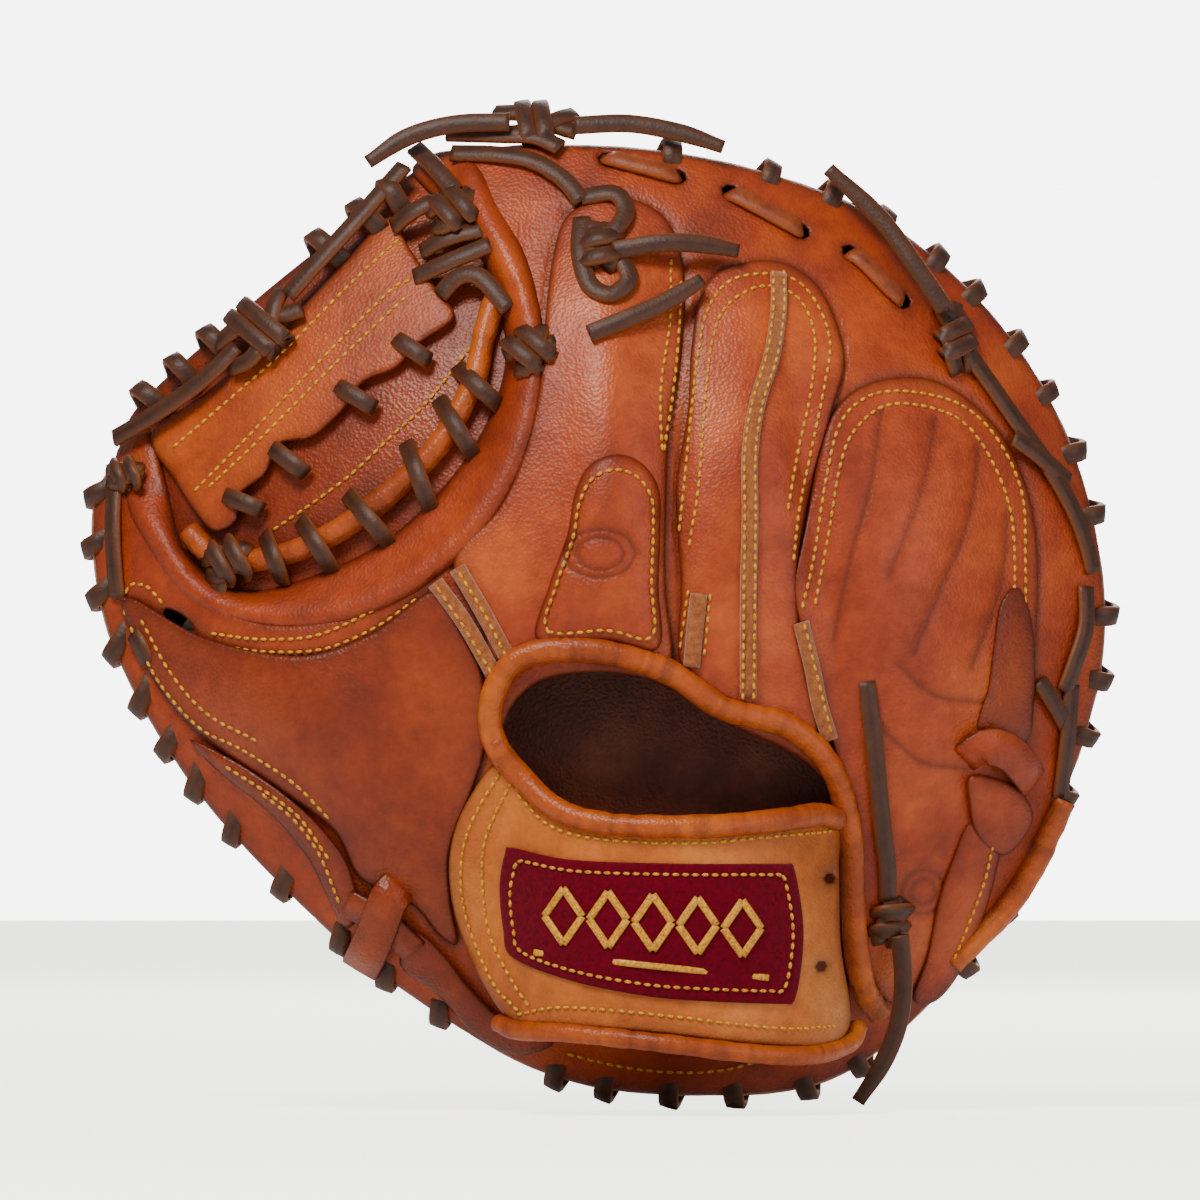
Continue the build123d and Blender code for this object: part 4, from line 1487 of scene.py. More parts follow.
    def stitching(self) -> None:
        """The golden rows round each stall, round the web and along the welts."""
        back, lift = self.form.back, self.panel_lift + 0.15
        low = 0.25
        rows: list[tuple[Plan, Level, float]] = []
        rows += [(line, back, low) for line in (
            [(-128, 109), (-115, 107.5), (-100, 108.5), (-85, 115), (-70, 124), (-58, 132),
             (-47, 143), (-40, 158), (-36, 172), (-33.5, 190), (-32, 205), (-30, 221)],
            [(-126, 105.5), (-112, 104), (-97, 105), (-83, 111), (-73, 118)],
            [(-55, 129.5), (-46, 139), (-37, 155), (-32, 170), (-29.5, 190), (-28, 206), (-27, 216)],
            [(-153, 115), (-152, 122), (-147, 122), (-143, 118)],
            [(-15, 226), (-8, 223), (-2, 217)], [(-13, 222), (-7, 219)],
            [(-30, -7), (-15, -10.5), (0, -12), (14, -11), (30, -6)])]
        rows += [(line, back, lift) for line in (
            [(-151, 110), (-143, 95), (-132, 83), (-120, 77), (-106, 68), (-97, 59)],
            [(-148, 112), (-140, 98), (-130, 87), (-117, 80)],
            [(-2.5, 211), (-2.8, 195), (-5, 180), (-5.5, 170), (-5, 160)],
            [(0.2, 205), (-0.5, 190), (-2, 175), (-4.4, 160)],
            [(-0.3, 138), (1.2, 152), (3, 170), (5, 187), (8, 199), (15, 206.5), (28, 207.5),
             (36, 202), (41, 190), (39.5, 177), (36, 160), (32.5, 143), (31, 130)],
            [(2.5, 134), (5, 150), (6.5, 170), (8.5, 188), (12, 198), (20, 203.8), (28, 203.8),
             (34, 199), (37, 189), (35.5, 174), (32, 158), (29.5, 144)],
            [(33.5, 117), (36.5, 130), (40, 152), (44, 167), (52, 174.3), (63, 175.5), (77, 172),
             (87, 163), (94, 148), (95, 130), (94.5, 108), (91, 78)],
            [(37, 118), (40.5, 136), (43.5, 154), (47.5, 164.5), (56, 171.5), (67, 171.5),
             (78, 167), (86, 156), (91, 142), (92, 125), (91, 108)],
            [(2, 120), (0, 106)], [(8, 119), (6.5, 104)])]
        rows += [([(x + side, z) for x, z in (
            [(27, 208), (27, 198), (25, 185), (21, 172), (19, 158), (19, 140), (18.5, 92)])],
            back, lift + 1.9) for side in (-1.5, 1.5)]
        rows += [([(-66, 121), (-59, 110.5), (-52, 99)], back, lift + 1.9),
                 ([(-60, 125), (-53, 113.5), (-48, 103.5)], back, lift + 1.9),
                 ([(34, 111), (37, 99), (41, 83)], back, lift + 1.9)]
        pad = smooth_line(PAD, 1.0, closed=True)
        middle = pad.mean(0)
        inner = middle + (pad - middle) * 0.86
        rows.append((inner, back, self.panel_lift + 3.0))
        attach(STITCHING.sew("back_stitching", rows), Finish.THREAD)


@dataclass
class WristStrap:
    """The strap across the wrist, with its rolled edges, felt patch and emblem."""

    form: MittForm = FORM

    def level(self, x: np.ndarray, z: np.ndarray) -> np.ndarray:
        """Depth of the strap's face: an arch over the wrist that lands on the thumb's base.

        Args:
            x: Plan places across, in mm.
            z: Plan places up, in mm.

        Returns:
            Depths along Y, in mm, one for each place.
        """
        arch = 14 - np.sqrt(np.maximum(59.0**2 - (x + 3.5) ** 2, 60.0))
        arch = arch + 0.03 * np.maximum(x - 30, 0) ** 2 + 0.0008 * (z - 28) ** 2 - 0.6
        arch = arch + 0.5 * np.sin(x / 9 + z / 14) + 0.4 * np.sin(z / 6 - x / 23)
        land = self.form.back(x, z) - 2.6
        soft = 3.0
        return -soft * np.log(np.exp(-arch / soft) + np.exp(-land / soft))

    def build(self) -> None:
        """Makes and attaches the strap's pieces."""
        strap = [(-50, 74), (-59, 62), (-63, 50), (-63, 38), (-60, 26), (-54, 13), (-46, 3),
                 (-34, 2), (-10, 0.5), (20, -3), (40, -4), (46, 0), (46.5, 8), (44, 24), (43.5, 45),
                 (43, 57), (28, 57), (0, 55), (-20, 56), (-33, 60), (-43, 69)]
        eyes = [oval(x, z, 1.5, 1.5, 0) for x, z in ((40.8, 42), (38.5, 18))]
        body = LeatherPanel("wrist_strap", strap, Finish.STRAP, level=self.level, thick=2.6,
                            holes=eyes, roll=1.2).build()
        attach(body, Finish.STRAP, "wrist_strap")
        top = [(-51, 80), (-48, 75), (-43, 69.5), (-37, 63.5), (-30, 59.5), (-20, 57.2), (-5, 56.5),
               (12, 56.8), (28, 58.3), (38, 59.6), (43, 58)]
        bottom = [(-50, 2.5), (-44, 0.5), (-30, 0), (-5, -2.5), (15, -5), (30, -6.2), (40, -5.6),
                  (47, -3), (49, 1)]
        for name, path, node, r in (("strap_top_roll", top, "strap_top_roll", 3.2),
                                    ("strap_bottom_roll", bottom, "strap_bottom_roll", 2.6)):
            line = over(self.level, [(x, z, 0.4) for x, z in path])
            made = finish_strips(name, [Roll(r, seed=8).sweep(line)], Finish.BINDING)
            attach(made, Finish.BINDING, node)
        self.patch()
        rows = [
            ([(-50, 70), (-56, 60), (-59.5, 50), (-60, 38), (-57, 26), (-51, 13), (-45, 6.5)], 0.2),
            ([(-46.5, 68), (-51, 59), (-54, 50), (-54, 38), (-52, 26), (-46, 14), (-42, 8)], 0.2),
            ([(-44, 64.5), (-37, 57.5), (-28, 54), (-12, 52.3), (5, 52), (20, 53.2), (41, 55)], 0.2),
            ([(-44, 5), (-34, 7), (-20, 6.5), (0, 4.5), (15, 2.6), (30, 1.2), (42, 1.6)], 0.2),
        ]
        sewn = STITCHING.sew("strap_stitching", [(line, self.level, lift) for line, lift in rows])
        attach(sewn, Finish.THREAD)

    def patch(self) -> None:
        """The felt patch: its border stitch and a plain emblem of bars and lozenges."""
        cut = [(-48, 49), (-46, 50.5), (-30, 47.4), (0, 46.4), (28, 46.2), (31, 45), (33.5, 30),
               (33, 18), (31, 8.6), (28, 8), (5, 9), (-10, 10.4), (-30, 14.4), (-46, 20.6),
               (-48.5, 28), (-49.5, 40)]
        felt = LeatherPanel("felt_patch", cut, Finish.FELT, level=self.level, lift=1.5, thick=1.4,
                            roll=0.7, edge_dye_and_shade=0.0).build()
        attach(felt, Finish.FELT, "strap_patch")
        ring = np.array(cut, float)
        middle = np.array([-8.0, 29.0])
        border = [tuple(p + (middle - p) * np.array([0.07, 0.17])) for p in ring]
        border.append(border[0])
        parts = []
        for k in range(5):
            x, z = -32 + 12.2 * k, 32 - 0.8 * k
            w, h = 5.2, 7.5
            for (ax, az), (bx, bz) in (((-w, 0), (0, h)), ((0, h), (w, 0)), ((w, 0), (0, -h)),
                                       ((0, -h), (-w, 0))):
                parts.append(lay(self.level, [(x + ax, z + az, 1.9), (x + bx, z + bz, 1.9)], 2.1, 0.9))
        parts.append(lay(self.level, [(-40, 22, 1.9), (-10, 18.8, 1.9), (24, 15.2, 1.9)], 1.8, 0.9))
        emblem = finish_strips("patch_emblem", parts, Finish.THREAD)
        attach(emblem, Finish.THREAD)
        sewn = STITCHING.sew("patch_border", [(border, self.level, 1.7)])
        attach(sewn, Finish.THREAD)


@dataclass
class Web:
    """The web between thumb and index finger: collar, two panels, binding roll and its lacing."""

    form: MittForm = FORM
    upper_lift: float = 4.6

    def build(self) -> None:
        """Makes and attaches the web's pieces."""
        collar = [(-156, 158), (-150, 137), (-136, 117.5), (-115, 109.5), (-94, 110.5), (-73, 119),
                  (-54.5, 134.5), (-42, 155), (-36.5, 180), (-39.5, 204), (-48, 226), (-60, 242),
                  (-74, 237),
                  (-60, 221), (-51, 203), (-48, 184), (-54, 165), (-67, 147), (-85, 132),
                  (-110, 122), (-125, 122), (-137, 133), (-142, 152), (-147, 166)]
        made = LeatherPanel("web_collar", collar, Finish.BODY, level=self.form.collar, thick=8.0,
                            roll=3.2, puff=1.6, puff_run=6.0, edge_dye_and_shade=0.9).build()
        attach(made, Finish.BODY, "web_collar")
        lower = [(-152, 169), (-148, 155), (-143, 136), (-130, 116), (-110, 115), (-82, 125),
                 (-61, 142), (-48, 163), (-42, 184), (-45, 205), (-56, 227), (-70, 238), (-95, 219),
                 (-122, 197)]
        made = LeatherPanel("web_lower_panel", lower, Finish.THUMB, level=self.form.web, thick=2.4,
                            lift=0.2).build()
        attach(made, Finish.THUMB, "web_lower_panel")
        upper = [(-146, 164), (-130, 176), (-110, 193), (-92, 212), (-80, 224), (-75, 216),
                 (-67, 204), (-62, 196), (-71, 189), (-78, 182), (-87, 178), (-92, 171), (-101, 163),
                 (-110, 161), (-114, 153), (-121, 147), (-122, 140), (-128, 137), (-134, 143),
                 (-139, 151)]
        made = LeatherPanel("web_upper_panel", upper, Finish.WEB_TOP, level=self.form.web,
                            lift=self.upper_lift, thick=2.4, roll=1.5).build()
        attach(made, Finish.WEB_TOP, "web_upper_panel")
        path = [(-50, 203), (-53.5, 192), (-56, 180), (-60, 171), (-66, 161), (-74, 152.5),
                (-84, 144), (-96, 136), (-108, 131), (-120, 129), (-129, 131), (-135, 137)]
        line = over(self.form.web, [(x, z, 3.4) for x, z in path])
        roll = finish_strips("web_roll", [Roll(3.3, seed=5).sweep(line)], Finish.BINDING)
        attach(roll, Finish.BINDING, "web_binding_roll")
        rows = [
            ([(-139, 161), (-130, 168.5), (-110, 186), (-90, 206), (-78, 217)], self.upper_lift),
            ([(-133, 149), (-120, 162), (-100, 183), (-80, 203), (-75, 206)], self.upper_lift),
            ([(-129, 150), (-115, 163), (-95, 183), (-76, 201)], self.upper_lift),
            ([(-58, 187), (-70, 172), (-80, 162.5), (-90, 153), (-100, 145.5), (-111, 138)], 0.3),
        ]
        sewn = STITCHING.sew("web_stitching", [(r, self.form.web, s + 0.15) for r, s in rows])
        attach(sewn, Finish.THREAD)
        self.lacing()

    def lacing(self) -> None:
        """Every lace that is threaded through the web."""
        web, lift = self.form.web, self.upper_lift
        slots = [((-78, 190), (-69, 184)), ((-94, 177), (-84, 171)), ((-112, 160), (-103, 153)),
                 ((-125, 147), (-115, 143))]
        parts = []
        for (ax, az), (bx, bz) in slots:
            mx, mz = (ax + bx) / 2, (az + bz) / 2
            parts.append(lay(web, [(ax, az, lift - 1.4), (mx * 0.5 + ax * 0.5, mz * 0.5 + az * 0.5,
                                                          lift + 1.0),
                                   (mx * 0.5 + bx * 0.5, mz * 0.5 + bz * 0.5, lift + 1.0),
                                   (bx, bz, lift - 1.6)], 5.0))
        attach(finish_strips("web_slot_lacing", parts, Finish.LACE), Finish.LACE, "web_slot_lacing")
        loops = [((-61, 182), (-49, 171)), ((-66, 173), (-56, 157)), ((-75, 161), (-68, 142)),
                 ((-91, 147), (-79, 133)), ((-104, 140), (-95, 126)), ((-114, 136), (-109, 123))]
        parts = []
        for (ax, az), (bx, bz) in loops:
            mx, mz = (ax + bx) / 2, (az + bz) / 2
            parts.append(lay(web, [(ax, az, 0.2), (ax * 0.75 + bx * 0.25, az * 0.75 + bz * 0.25, 6.4),
                                   (mx, mz, 7.9), (ax * 0.25 + bx * 0.75, az * 0.25 + bz * 0.75, 6.6),
                                   (bx, bz, 1.2)], 5.0))
        made = finish_strips("web_roll_lacing", parts, Finish.LACE)
        attach(made, Finish.LACE, "web_roll_lacing")
        parts = Knot(-124, 129, 13, 11, 20, 6.6).parts(web)
        parts.append(lay(web, [(-126, 126, 6.5), (-128, 114, 7.0), (-129, 104, 8.2), (-129.5, 95, 8.5)]))
        made = finish_strips("web_lace_knot", parts, Finish.LACE)
        attach(made, Finish.LACE, "web_lace_knot")
        dome = self.form.dome
        parts = Knot(-116, 193, 25, 17, 43, 1.0).parts(dome)
        parts.append(lay(dome, [(-156, 163, 0.6), (-149, 167, 1.6), (-138, 174, 1.8), (-129, 181, 1.4),
                                (-122, 188, 0.6)]))
        parts.append(lay(dome, [(-108, 202, 0.6), (-100, 211, 1.6), (-90, 222, 1.8), (-76, 238, 1.0)]))
        made = finish_strips("web_edge_knot", parts, Finish.LACE)
        attach(made, Finish.LACE, "web_edge_knot")
        parts = Knot(-62, 226, 14, 11, 30, 1.6).parts(dome)
        parts += [lay(dome, run) for run in (
            [(-73, 243, -1), (-68, 238, 1.2), (-62, 231, 1.6)],
            [(-79, 221, -3), (-74, 225, 0.8), (-68, 228, 1.4)],
            [(-71, 214, -4), (-66, 217, -1), (-60, 219, 0), (-54, 220, 0)],
            [(-73, 207, -4), (-64, 211, -1), (-52, 216, 0.6)],
            [(-66, 202, -3.6), (-61, 207, -1.4), (-55, 207, -0.6), (-47, 198, -1)])]
        made = finish_strips("web_tie_knot", parts, Finish.LACE)
        attach(made, Finish.LACE, "web_tie_knot")


@dataclass
class PalmSide:
    """The catching side: leather, the padding under it and the welt in the laced edge."""

    form: MittForm = FORM

    def build(self) -> None:
        """Makes and attaches the palm's pieces."""
        middle = np.array([self.form.middle_x, self.form.middle_z])
        seams = [smooth_line(line, 2.0) for line in (
            [(-66, -4), (-76, 40), (-88, 84), (-95, 106)],
            [(-62, 128), (-52, 90), (-38, 40), (-28, -6)],
            [(14, 224), (10, 180), (6, 130), (4, 60), (2, -6)])]
        palm = LeatherPanel("palm_leather", BACK_SHELL, Finish.BODY, level=self.form.palm, thick=2.3,
                            facing=Facing.PALM, grid=3.0, grooves=seams, groove_depth=0.9,
                            groove_width=1.6).build()
        attach(palm, Finish.BODY, "finger_palm_leather", "thumb_palm_leather")
        rows = [([(x + side, z) for x, z in seam[2:-2]], self.form.palm, 0.2)
                for seam in seams[1:] for side in (-2.6, 2.6)]
        attach(STITCHING.sew("palm_stitching", rows, Facing.PALM), Finish.THREAD)
        filling = [tuple(middle + (np.array(spot) - middle) * 0.86) for spot in BACK_SHELL
                   if not (spot[0] < -140 and spot[1] > 120)]
        pad = LeatherPanel("palm_padding", filling, Finish.PADDING, level=self.pad_top, lift=0.0,
                           thick=2.6, facing=Facing.PALM, grid=5.0, rings=(2.0,), roll=0.4).build()
        attach(pad, Finish.PADDING, "finger_pad", "thumb_pad", "heel_pad")
        line = smooth_line(BACK_SHELL, 3.0, closed=True)
        away = line - middle
        drawn = middle + away * (1 - 2.2 / np.linalg.norm(away, axis=1))[:, None]
        y = self.form.dome(drawn[:, 0], drawn[:, 1]) + self.form.rim / 2
        path = np.column_stack([drawn[:, 0], y, drawn[:, 1]])
        welt = finish_strips("edge_welt", [Roll(2.3, sides=10, step=2.5).sweep(path, closed=True)],
                             Finish.SUEDE)
        attach(welt, Finish.SUEDE, "finger_edge_welt", "thumb_edge_welt")

    def pad_top(self, x: np.ndarray, z: np.ndarray) -> np.ndarray:
        """Depth of the padding's face, just under the palm leather.

        Args:
            x: Plan places across, in mm.
            z: Plan places up, in mm.

        Returns:
            Depths along Y, in mm, one for each place.
        """
        return self.form.palm(x, z) - 4.5


@dataclass
class EdgeLacing:
    """The lace whipped round the mitt's edge, one loop from hole to hole, made by geometry nodes."""

    form: MittForm = FORM
    reach: float = 9.5
    seed: int = 11
    tree: bpy.types.NodeTree | None = None

    def node_tree(self) -> bpy.types.NodeTree:
        """The tree: marked points in, one loop of lace on each.

        Returns:
            The node tree.
        """
        if self.tree is not None:
            return self.tree
        tree = bpy.data.node_groups.new("edge_lacing", "GeometryNodeTree")
        face = tree.interface
        face.new_socket("Holes", in_out="INPUT", socket_type="NodeSocketGeometry")
        face.new_socket("Loop", in_out="INPUT", socket_type="NodeSocketObject")
        seed = face.new_socket("Seed", in_out="INPUT", socket_type="NodeSocketInt")
        seed.default_value = self.seed
        face.new_socket("Lace", in_out="INPUT", socket_type="NodeSocketMaterial")
        face.new_socket("Lacing", in_out="OUTPUT", socket_type="NodeSocketGeometry")
        given = add_node(tree, "NodeGroupInput")
        loop = add_node(tree, "GeometryNodeObjectInfo", {"Object": given.outputs["Loop"]})
        turn = add_node(tree, "GeometryNodeInputNamedAttribute", values={"Name": "turn"},
                        data_type="FLOAT_VECTOR")
        aim = add_node(tree, "FunctionNodeEulerToRotation", {0: turn.outputs["Attribute"]})
        size = add_node(tree, "FunctionNodeRandomValue", {"Seed": given.outputs["Seed"]},
                        data_type="FLOAT")
        size.inputs[2].default_value = 0.94
        size.inputs[3].default_value = 1.06
        placed = add_node(tree, "GeometryNodeInstanceOnPoints", {
            "Points": given.outputs["Holes"], "Instance": loop.outputs["Geometry"],
            "Rotation": aim.outputs[0], "Scale": size.outputs[1]})
        real = add_node(tree, "GeometryNodeRealizeInstances", {0: placed.outputs["Instances"]})
        dyed = add_node(tree, "GeometryNodeSetMaterial", {"Geometry": real.outputs[0],
                                                         "Material": given.outputs["Lace"]})
        add_node(tree, "NodeGroupOutput", {0: dyed.outputs[0]})
        self.tree = tree
        return tree

    def loop(self) -> bpy.types.Object:
        """One loop of lace in its own axes: x outwards, y depth, z along the edge.

        Returns:
            The loop, to be copied to every hole.
        """
        r, rim = self.reach, self.form.rim
        run = [(-r, 1.6, -2.4), (-r + 1.6, -1.3, -2.0), (-r * 0.5, -2.0, -1.2), (-1.0, -1.8, -0.3),
               (1.3, 0.2, 0.3), (2.1, rim / 2, 0.8), (1.3, rim + 0.2, 1.2), (-1.0, rim + 1.8, 1.6),
               (-3.5, rim + 2.2, 2.2), (-5.5, rim + 1.0, 2.6), (-6.6, rim - 1.6, 2.8)]
        face = [(-0.6, -0.8, 0), (-0.3, -1, 0), (0, -1, 0), (0.4, -0.9, 0), (0.9, -0.4, 0), (1, 0, 0),
                (0.9, 0.4, 0), (0.4, 0.9, 0), (0, 1, 0), (-0.3, 1, 0), (-0.6, 0.8, 0)]
        part = Strip(5.4, 2.1, 1.3).sweep(np.array(run), np.array(face, float))
        return finish_strips("lace_loop", [part], Finish.LACE)

    def holes(self, name: str, places: Plan, lean: float) -> bpy.types.Object:
        """The stations that carry loops, each with its turn.

        Args:
            name: the carrier's name.
            places: plan places at the edge.
            lean: how far the loops lean along the edge, in degrees.

        Returns:
            A mesh of points with the turn of each loop.
        """
        line = EDGE_LINE
        spots, turns = [], []
        rng = np.random.default_rng(self.seed)
        for x, z in places:
            near = int(np.argmin(np.hypot(line[:, 0] - x, line[:, 1] - z)))
            px, pz = line[near]
            run = line[(near + 2) % len(line)] - line[near - 2]
            out = np.array([-run[1], run[0]])
            out /= np.linalg.norm(out)
            if out @ (line[near] - np.array([self.form.middle_x, self.form.middle_z])) < 0:
                out = -out
            px, pz = np.array([px, pz]) + out * 0.4
            spots.append((px, float(self.form.dome(np.array([px]), np.array([pz]))[0]), pz))
            lean_now = math.radians(lean + rng.uniform(-7, 7))
            turns.append((0.0, -math.atan2(out[1], out[0]) + lean_now, 0.0))
        data = bpy.data.meshes.new(name)
        data.from_pydata((np.array(spots) * MM).tolist(), [], [])
        mark = data.attributes.new("turn", "FLOAT_VECTOR", "POINT")
        mark.data.foreach_set("vector", np.array(turns, np.float32).ravel())
        made = bpy.data.objects.new(name, data)
        bpy.context.scene.collection.objects.link(made)
        return made

    def build(self) -> None:
        """Makes the lacing of each stretch of the edge."""
        right = [(-2, 241), (25, 237), (42, 230), (58, 224), (72, 213), (83, 203), (93, 189),
                 (101, 175), (109, 158), (113, 142), (118, 113), (113, 97), (110, 81), (103, 64),
                 (96, 50), (88, 33), (76, 19)]
        left = [(-163, 148), (-163, 133), (-162, 120), (-157, 104), (-149, 90), (-140, 79),
                (-131, 67), (-121, 55), (-108, 42), (-93, 25), (-80, 14), (-66, 5)]
        heel = [(-34, -10), (-20, -13), (-3, -15), (14, -15), (33, -12), (47, -6)]
        web = [(-148, 175), (-138, 184), (-129, 190), (-100, 217), (-90, 227), (-81, 234)]
        for name, places, lean, node in (
                ("finger_edge_lacing", right, 14, "finger_edge_lacing"),
                ("thumb_edge_lacing", left, -14, "thumb_edge_lacing"),
                ("heel_lacing", heel, 12, "heel_lacing"), ("web_edge_lacing", web, 10,
                                                          "web_edge_lacing")):
            carrier, loop = self.holes(name + "_holes", places, lean), self.loop()
            modifier = carrier.modifiers.new("lacing", "NODES")
            tree = self.node_tree()
            modifier.node_group = tree
            ids = {s.name: s.identifier for s in tree.interface.items_tree if s.in_out == "INPUT"}
            modifier[ids["Loop"]] = loop
            modifier[ids["Seed"]] = self.seed
            modifier[ids["Lace"]] = SHOP.material(Finish.LACE)
            carrier.update_tag()
            graph = bpy.context.evaluated_depsgraph_get()
            data = bpy.data.meshes.new_from_object(carrier.evaluated_get(graph))
            bpy.data.objects.remove(carrier)
            bpy.data.objects.remove(loop)
            attach(put(name, data), Finish.LACE, node)


@dataclass
class LongLaces:
    """The ties, thongs and free lace ends that hang on the back."""

    form: MittForm = FORM

    def build(self) -> None:
        """Makes and attaches every tie, knot, thong and free end."""
        back = self.form.back
        ties = {
            "top_slot_lacing": ("top_slot_lacing", [
                [(-20, 240, -1), (-17, 239.5, 1.5), (-4, 236, 1.5), (-1, 235, -1)],
                [(14, 230, -1), (17, 229, 1.5), (30, 222, 1.5), (33, 220, -1)],
                [(47, 213.5, -1), (50, 212, 1.5), (58, 204, 1.5), (61, 201, -1)]], []),
            "side_lace": ("side_lace", [
                [(74, 196, 2), (79, 187, 2.4), (86, 177, 2.6), (93, 167, 2.8), (101, 156, 2.8),
                 (108, 144, 2.6), (112, 134, 2), (114, 126, 0.8)],
                [(92, 163, 3), (99, 158, 4.2), (107, 151, 2)],
                [(112, 122, 1), (112, 111, 2.4), (109, 101, 2.4), (106, 93, 1)],
                [(99, 96, 0.6), (103, 90, 3.4), (107, 83, 1)], [(108, 95, 1), (107, 80, 2.6), (105, 64, 1)]],
                []),
            "side_lace_knot": ("side_lace_knot", [], [Knot(76, 190, 19, 9, 105)]),
            "wrist_lace": ("wrist_lace", [
                [(51, 96, 1), (52.5, 84, 3.2), (54, 70, 3.4), (55.5, 56, 3.4), (57, 44, 3.2),
                 (57, 36, 2.6)]], []),
            "wrist_lace_knot": ("wrist_lace_knot", [], [Knot(58, 30, 13, 9, 80, 2.8)]),
            "crotch_tie_lace": ("crotch_tie_lace", [
                [(-64, 247, 1), (-50, 246.5, 2.4), (-40, 246, 3), (-33, 243, 3.4)],
                [(-63, 241.5, 1), (-50, 241, 2), (-40, 239, 2.4), (-32, 234, 2.6), (-27, 228, 2.4)]],
                []),
            "top_lace_knot": ("top_lace_knot", [], [Knot(-40, 250, 23, 11, 0, 2.0)]),
            "crotch_lace_knot": ("crotch_lace_knot", [
                [(-27, 229, 2.2), (-18, 230, 3.4), (-15, 225, 3.8), (-19, 219.5, 3.6),
                 (-27, 221, 2.6)],
                [(-27, 223, 2.6), (-27.5, 214, 3.6), (-25, 205, 2.8), (-19, 202, 3), (-14, 206, 3.4),
                 (-16, 212, 3)]], [Knot(-22, 215, 12, 10, 90, 3.2)]),
            "index_lace_knot": ("index_lace_knot", [], [Knot(-41, 187, 13, 12, 40, 2.2)]),
            "thumb_side_lace": ("thumb_side_lace", [
                [(-156, 151, 0), (-156.5, 140, 2.2), (-156, 128, 2.2), (-155, 119, 0.4)],
                [(-150.5, 109, 0.6), (-148.5, 105.5, 2.2), (-146.5, 101, 0.6)]],
                [Knot(-153, 153, 9, 7, 10, 1.6, 4.4)]),
        }
        for name, (node, runs, knots) in ties.items():
            parts = [lay(back, run) for run in runs]
            for knot in knots:
                parts += knot.parts(back)
            finish = Finish.TAN_LACE if name == "top_slot_lacing" else Finish.LACE
            attach(finish_strips(name, parts, finish), finish, node)
        self.thongs()
        self.free_ends()

    def thongs(self) -> None:
        """The two broad leather thongs that tie thumb and little finger to the heel."""
        back = self.form.back
        cuts = {
            "thumb_strap": (Finish.THUMB, 3.4, "thumb_strap", [
                (-135, 80), (-125, 75.5), (-115, 69.5), (-105, 62), (-97, 54), (-91, 45), (-88, 33),
                (-92, 28), (-97, 37), (-102, 47), (-109, 56), (-116, 62.5), (-128, 72)]),
            "thumb_strap_tail": (Finish.THUMB, 3.2, None, [
                (-73, 27), (-65, 21), (-58, 12), (-50, 4), (-42, 0), (-34, -1), (-36, -5), (-44, -7),
                (-51, -5), (-59, 1), (-67, 10), (-77, 18)]),
            "pinky_strap": (Finish.THUMB, 3.0, "pinky_strap", [
                (92, 122), (88, 117), (86, 105), (84.5, 94), (82, 82), (95, 79), (97.5, 90),
                (97.5, 108), (95, 119)]),
            "pinky_strap_fold": (Finish.FINGER, 4.6, None, [
                (80, 70), (92, 67), (97.5, 58), (90, 48), (82, 53), (79.5, 62)]),
            "pinky_strap_tail": (Finish.BODY, 3.2, None, [
                (80, 57), (75, 47), (71, 35), (68, 20), (64.5, 10), (66, 6.5), (71, 7.5), (76, 13),
                (80, 21), (84, 31), (87, 42), (88, 52)]),
        }
        for name, (finish, lift, node, cut) in cuts.items():
            made = LeatherPanel(name, cut, finish, level=back, lift=lift, thick=2.3, roll=1.3,
                                puff=0.9, puff_run=5.0, grid=2.0, rings=(0.4, 1.0, 2.0)).build()
            attach(made, finish, *([node] if node else []))
        wrap = [lay(back, [(-77, 40, 0.6), (-80, 36, 6.2), (-83, 28, 7.4), (-86, 21, 6.0), (-88, 17, 1)],
                    11, 2.4), lay(back, [(-91, 35, 3.5), (-82, 30, 5.2), (-73, 22, 3.4)], 9, 2.4)]
        made = finish_strips("thumb_strap_knot", wrap, Finish.THUMB)
        attach(made, Finish.THUMB, "thumb_strap_knot")
        wrap = [lay(back, [(78, 75, 1.0), (84, 78, 6.6), (90, 76.5, 7.4), (95.5, 71, 5.4), (97, 68, 1)],
                    10.5, 2.4)]
        made = finish_strips("pinky_strap_knot", wrap, Finish.FINGER)
        attach(made, Finish.FINGER, "pinky_strap_knot")
        line = over(back, [(x, z, 1.2) for x, z in (
            (106, 63), (101, 52), (96, 42), (89, 32), (82, 25), (75, 18))])
        made = finish_strips("edge_roll", [Roll(3.6, seed=21).sweep(line)], Finish.BINDING)
        attach(made, Finish.BINDING)
        rows = [([(-114, 64.5), (-106, 58), (-99, 48.5), (-94, 36)], back, 4.2),
                ([(-124, 72), (-112, 64.5), (-104, 58), (-97, 48)], back, 4.2),
                ([(86, 50), (84, 41), (80, 30), (76, 20)], back, 4.0)]
        attach(STITCHING.sew("thong_stitching", rows), Finish.THREAD)

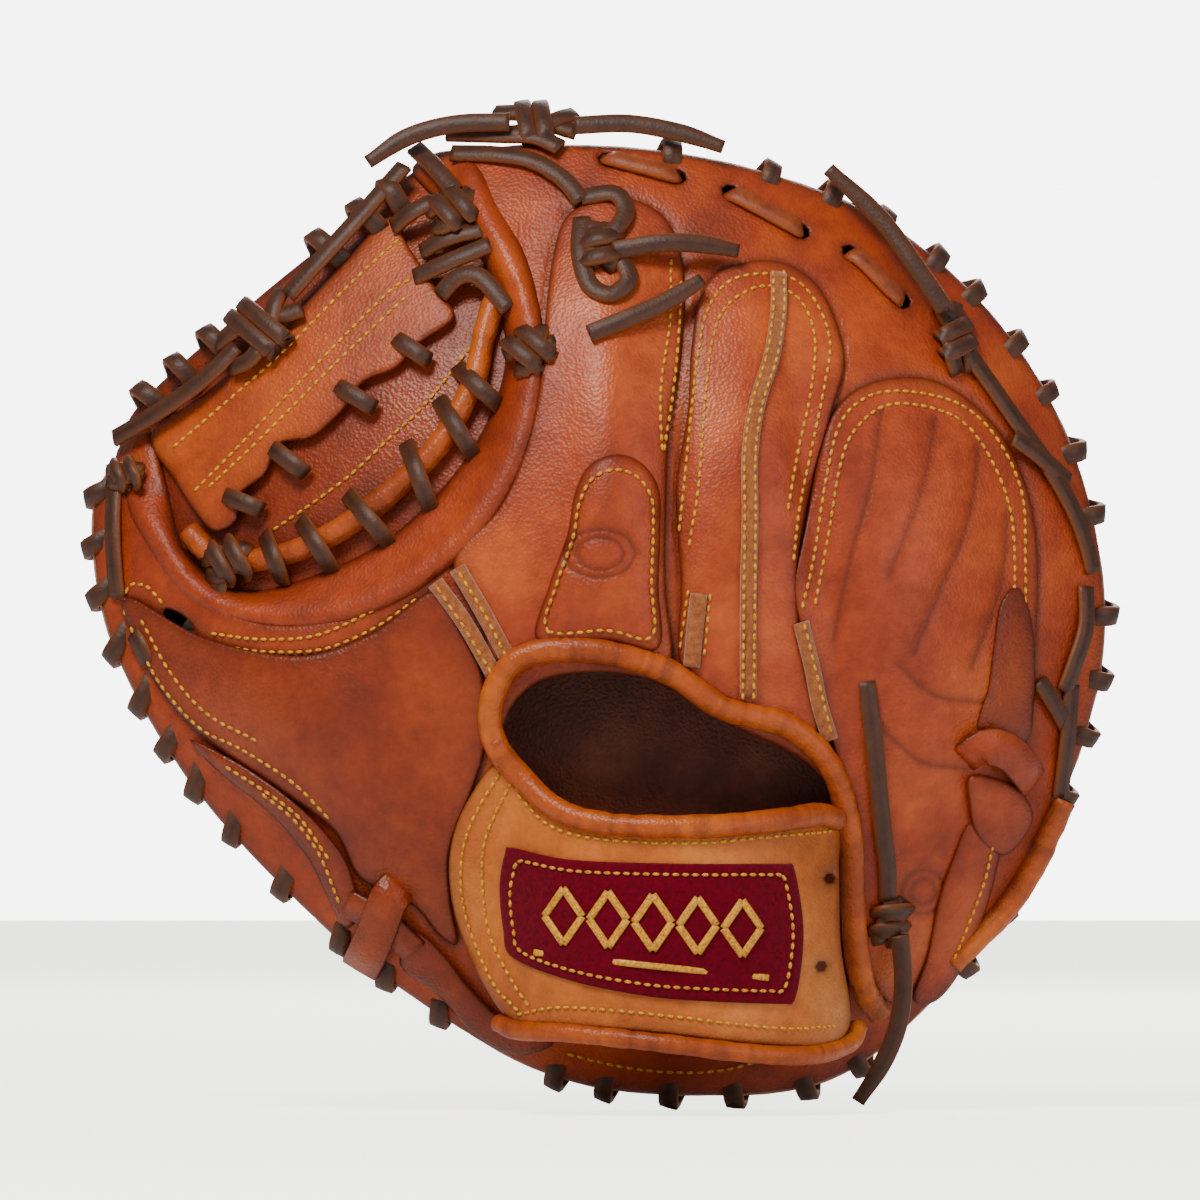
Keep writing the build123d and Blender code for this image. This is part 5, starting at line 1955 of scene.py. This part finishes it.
    def free_ends(self) -> None:
        """The six loose ends of lace, cut off with a knife."""
        ends = {
            "top_lace_end_left": ([(-47, 12, 250), (-62, 14.5, 249.5), (-75, 15.5, 246),
                                   (-86, 14, 239)], (0, -1, 0.25), 41.7),
            "top_lace_end_right": ([(-29, 9, 249), (-14, 9.5, 249.5), (0, 9, 247), (12, 8, 243)],
                                   (0, -1, 0.3), 41.9),
            "crotch_lace_end": ([(-18.5, -14, 214), (-6, -14.5, 216), (5, -13, 216), (16, -11, 214)],
                                (0, -1, 0.1), 35.1),
            "index_lace_end": ([(-25, -25.5, 191), (-14, -24, 195.5), (-4, -21, 200),
                                (6, -17.5, 206)], (0, -1, 0.2), 35.5),
            "side_lace_end": ([(73, 1.5, 198), (65, 3.5, 210), (55, 7, 223.5), (41, 10, 237)],
                              (0, -1, 0.2), 51.4),
            "wrist_lace_end": ([(60.5, 0, 26), (61.5, 4, 13), (60, 7, 1), (55.5, 8.5, -10),
                                (49, 9, -20)], (0, -1, -0.2), 49.9),
        }
        for name, (route, face, long) in ends.items():
            line = smooth_line(route, 1.2)
            part = Strip(5.2, 1.9, 1.2).sweep(line, np.array(face, float), taper=0.25)
            made = finish_strips(name, [part], Finish.LACE)
            attach(made, Finish.LACE, name)


@dataclass
class Studio:
    """Plain paper, soft lights and the long lens that the mitt is seen through."""

    distance: float = 5.0
    span: float = 0.33
    target: tuple[float, float] = (-0.022, 0.11825)
    surround: float = 0.34  # the light that the room gives
    backdrop: float = 7.0  # how bright the paper behind looks

    def camera(self) -> None:
        """The camera, level with the mitt's middle."""
        data = bpy.data.cameras.new("main_camera")
        data.sensor_width = 36.0
        data.lens = 36.0 * self.distance / self.span
        data.clip_end = 50.0
        made = bpy.data.objects.new("main_camera", data)
        made.location = (self.target[0], -self.distance, self.target[1])
        made.rotation_euler = (math.pi / 2, 0, 0)
        bpy.context.scene.collection.objects.link(made)
        bpy.context.scene.camera = made

    def lights(self) -> None:
        """A broad key from the upper left, a fill from the right and an even pale surround."""
        for name, place, size, watts, colour in (
                ("key_light", (-0.55, -1.15, 1.45), 0.6, 36.0, "#FFF8F0"),
                ("fill_light", (1.3, -1.2, 0.5), 1.0, 8.0, "#F6F8FF"),
                ("palm_light", (0.2, 1.5, 0.9), 1.0, 18.0, "#FFFFFF")):
            data = bpy.data.lights.new(name, "AREA")
            data.size, data.energy = size, watts
            data.color = linear(colour)[:3]
            made = bpy.data.objects.new(name, data)
            made.location = place
            aim = Vector((self.target[0], 0, self.target[1])) - Vector(place)
            made.rotation_euler = aim.to_track_quat("-Z", "Y").to_euler()
            bpy.context.scene.collection.objects.link(made)
            made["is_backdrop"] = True
        world = bpy.data.worlds.new("pale_surround")
        world.use_nodes = True
        tree = world.node_tree
        sky = tree.nodes["Background"]
        sky.inputs["Color"].default_value = linear("#FAFAFA")
        seen = add_node(tree, "ShaderNodeLightPath").outputs["Is Camera Ray"]
        glow = add_node(tree, "ShaderNodeMapRange", {"Value": seen},
                        {"To Min": self.surround, "To Max": self.backdrop})
        tree.links.new(glow.outputs["Result"], sky.inputs["Strength"])
        bpy.context.scene.world = world

    def floor(self) -> None:
        """A sheet of studio paper under the mitt's lowest point."""
        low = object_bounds()[0][2]
        data = bpy.data.meshes.new("floor")
        s = 3.0
        data.from_pydata([(-s, -s, low), (s, -s, low), (s, s, low), (-s, s, low)], [], [(0, 1, 2, 3)])
        data.materials.append(StudioPaper().make())
        made = bpy.data.objects.new("floor", data)
        bpy.context.scene.collection.objects.link(made)
        made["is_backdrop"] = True


def main() -> None:
    """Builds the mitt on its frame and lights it."""
    studio = Studio()
    studio.camera()
    for assembly in (LongLaces(), BackHand(), WristStrap(), Web(), PalmSide(), EdgeLacing()):
        assembly.build()
    studio.lights()
    studio.floor()


if __name__ == "__main__":
    main()
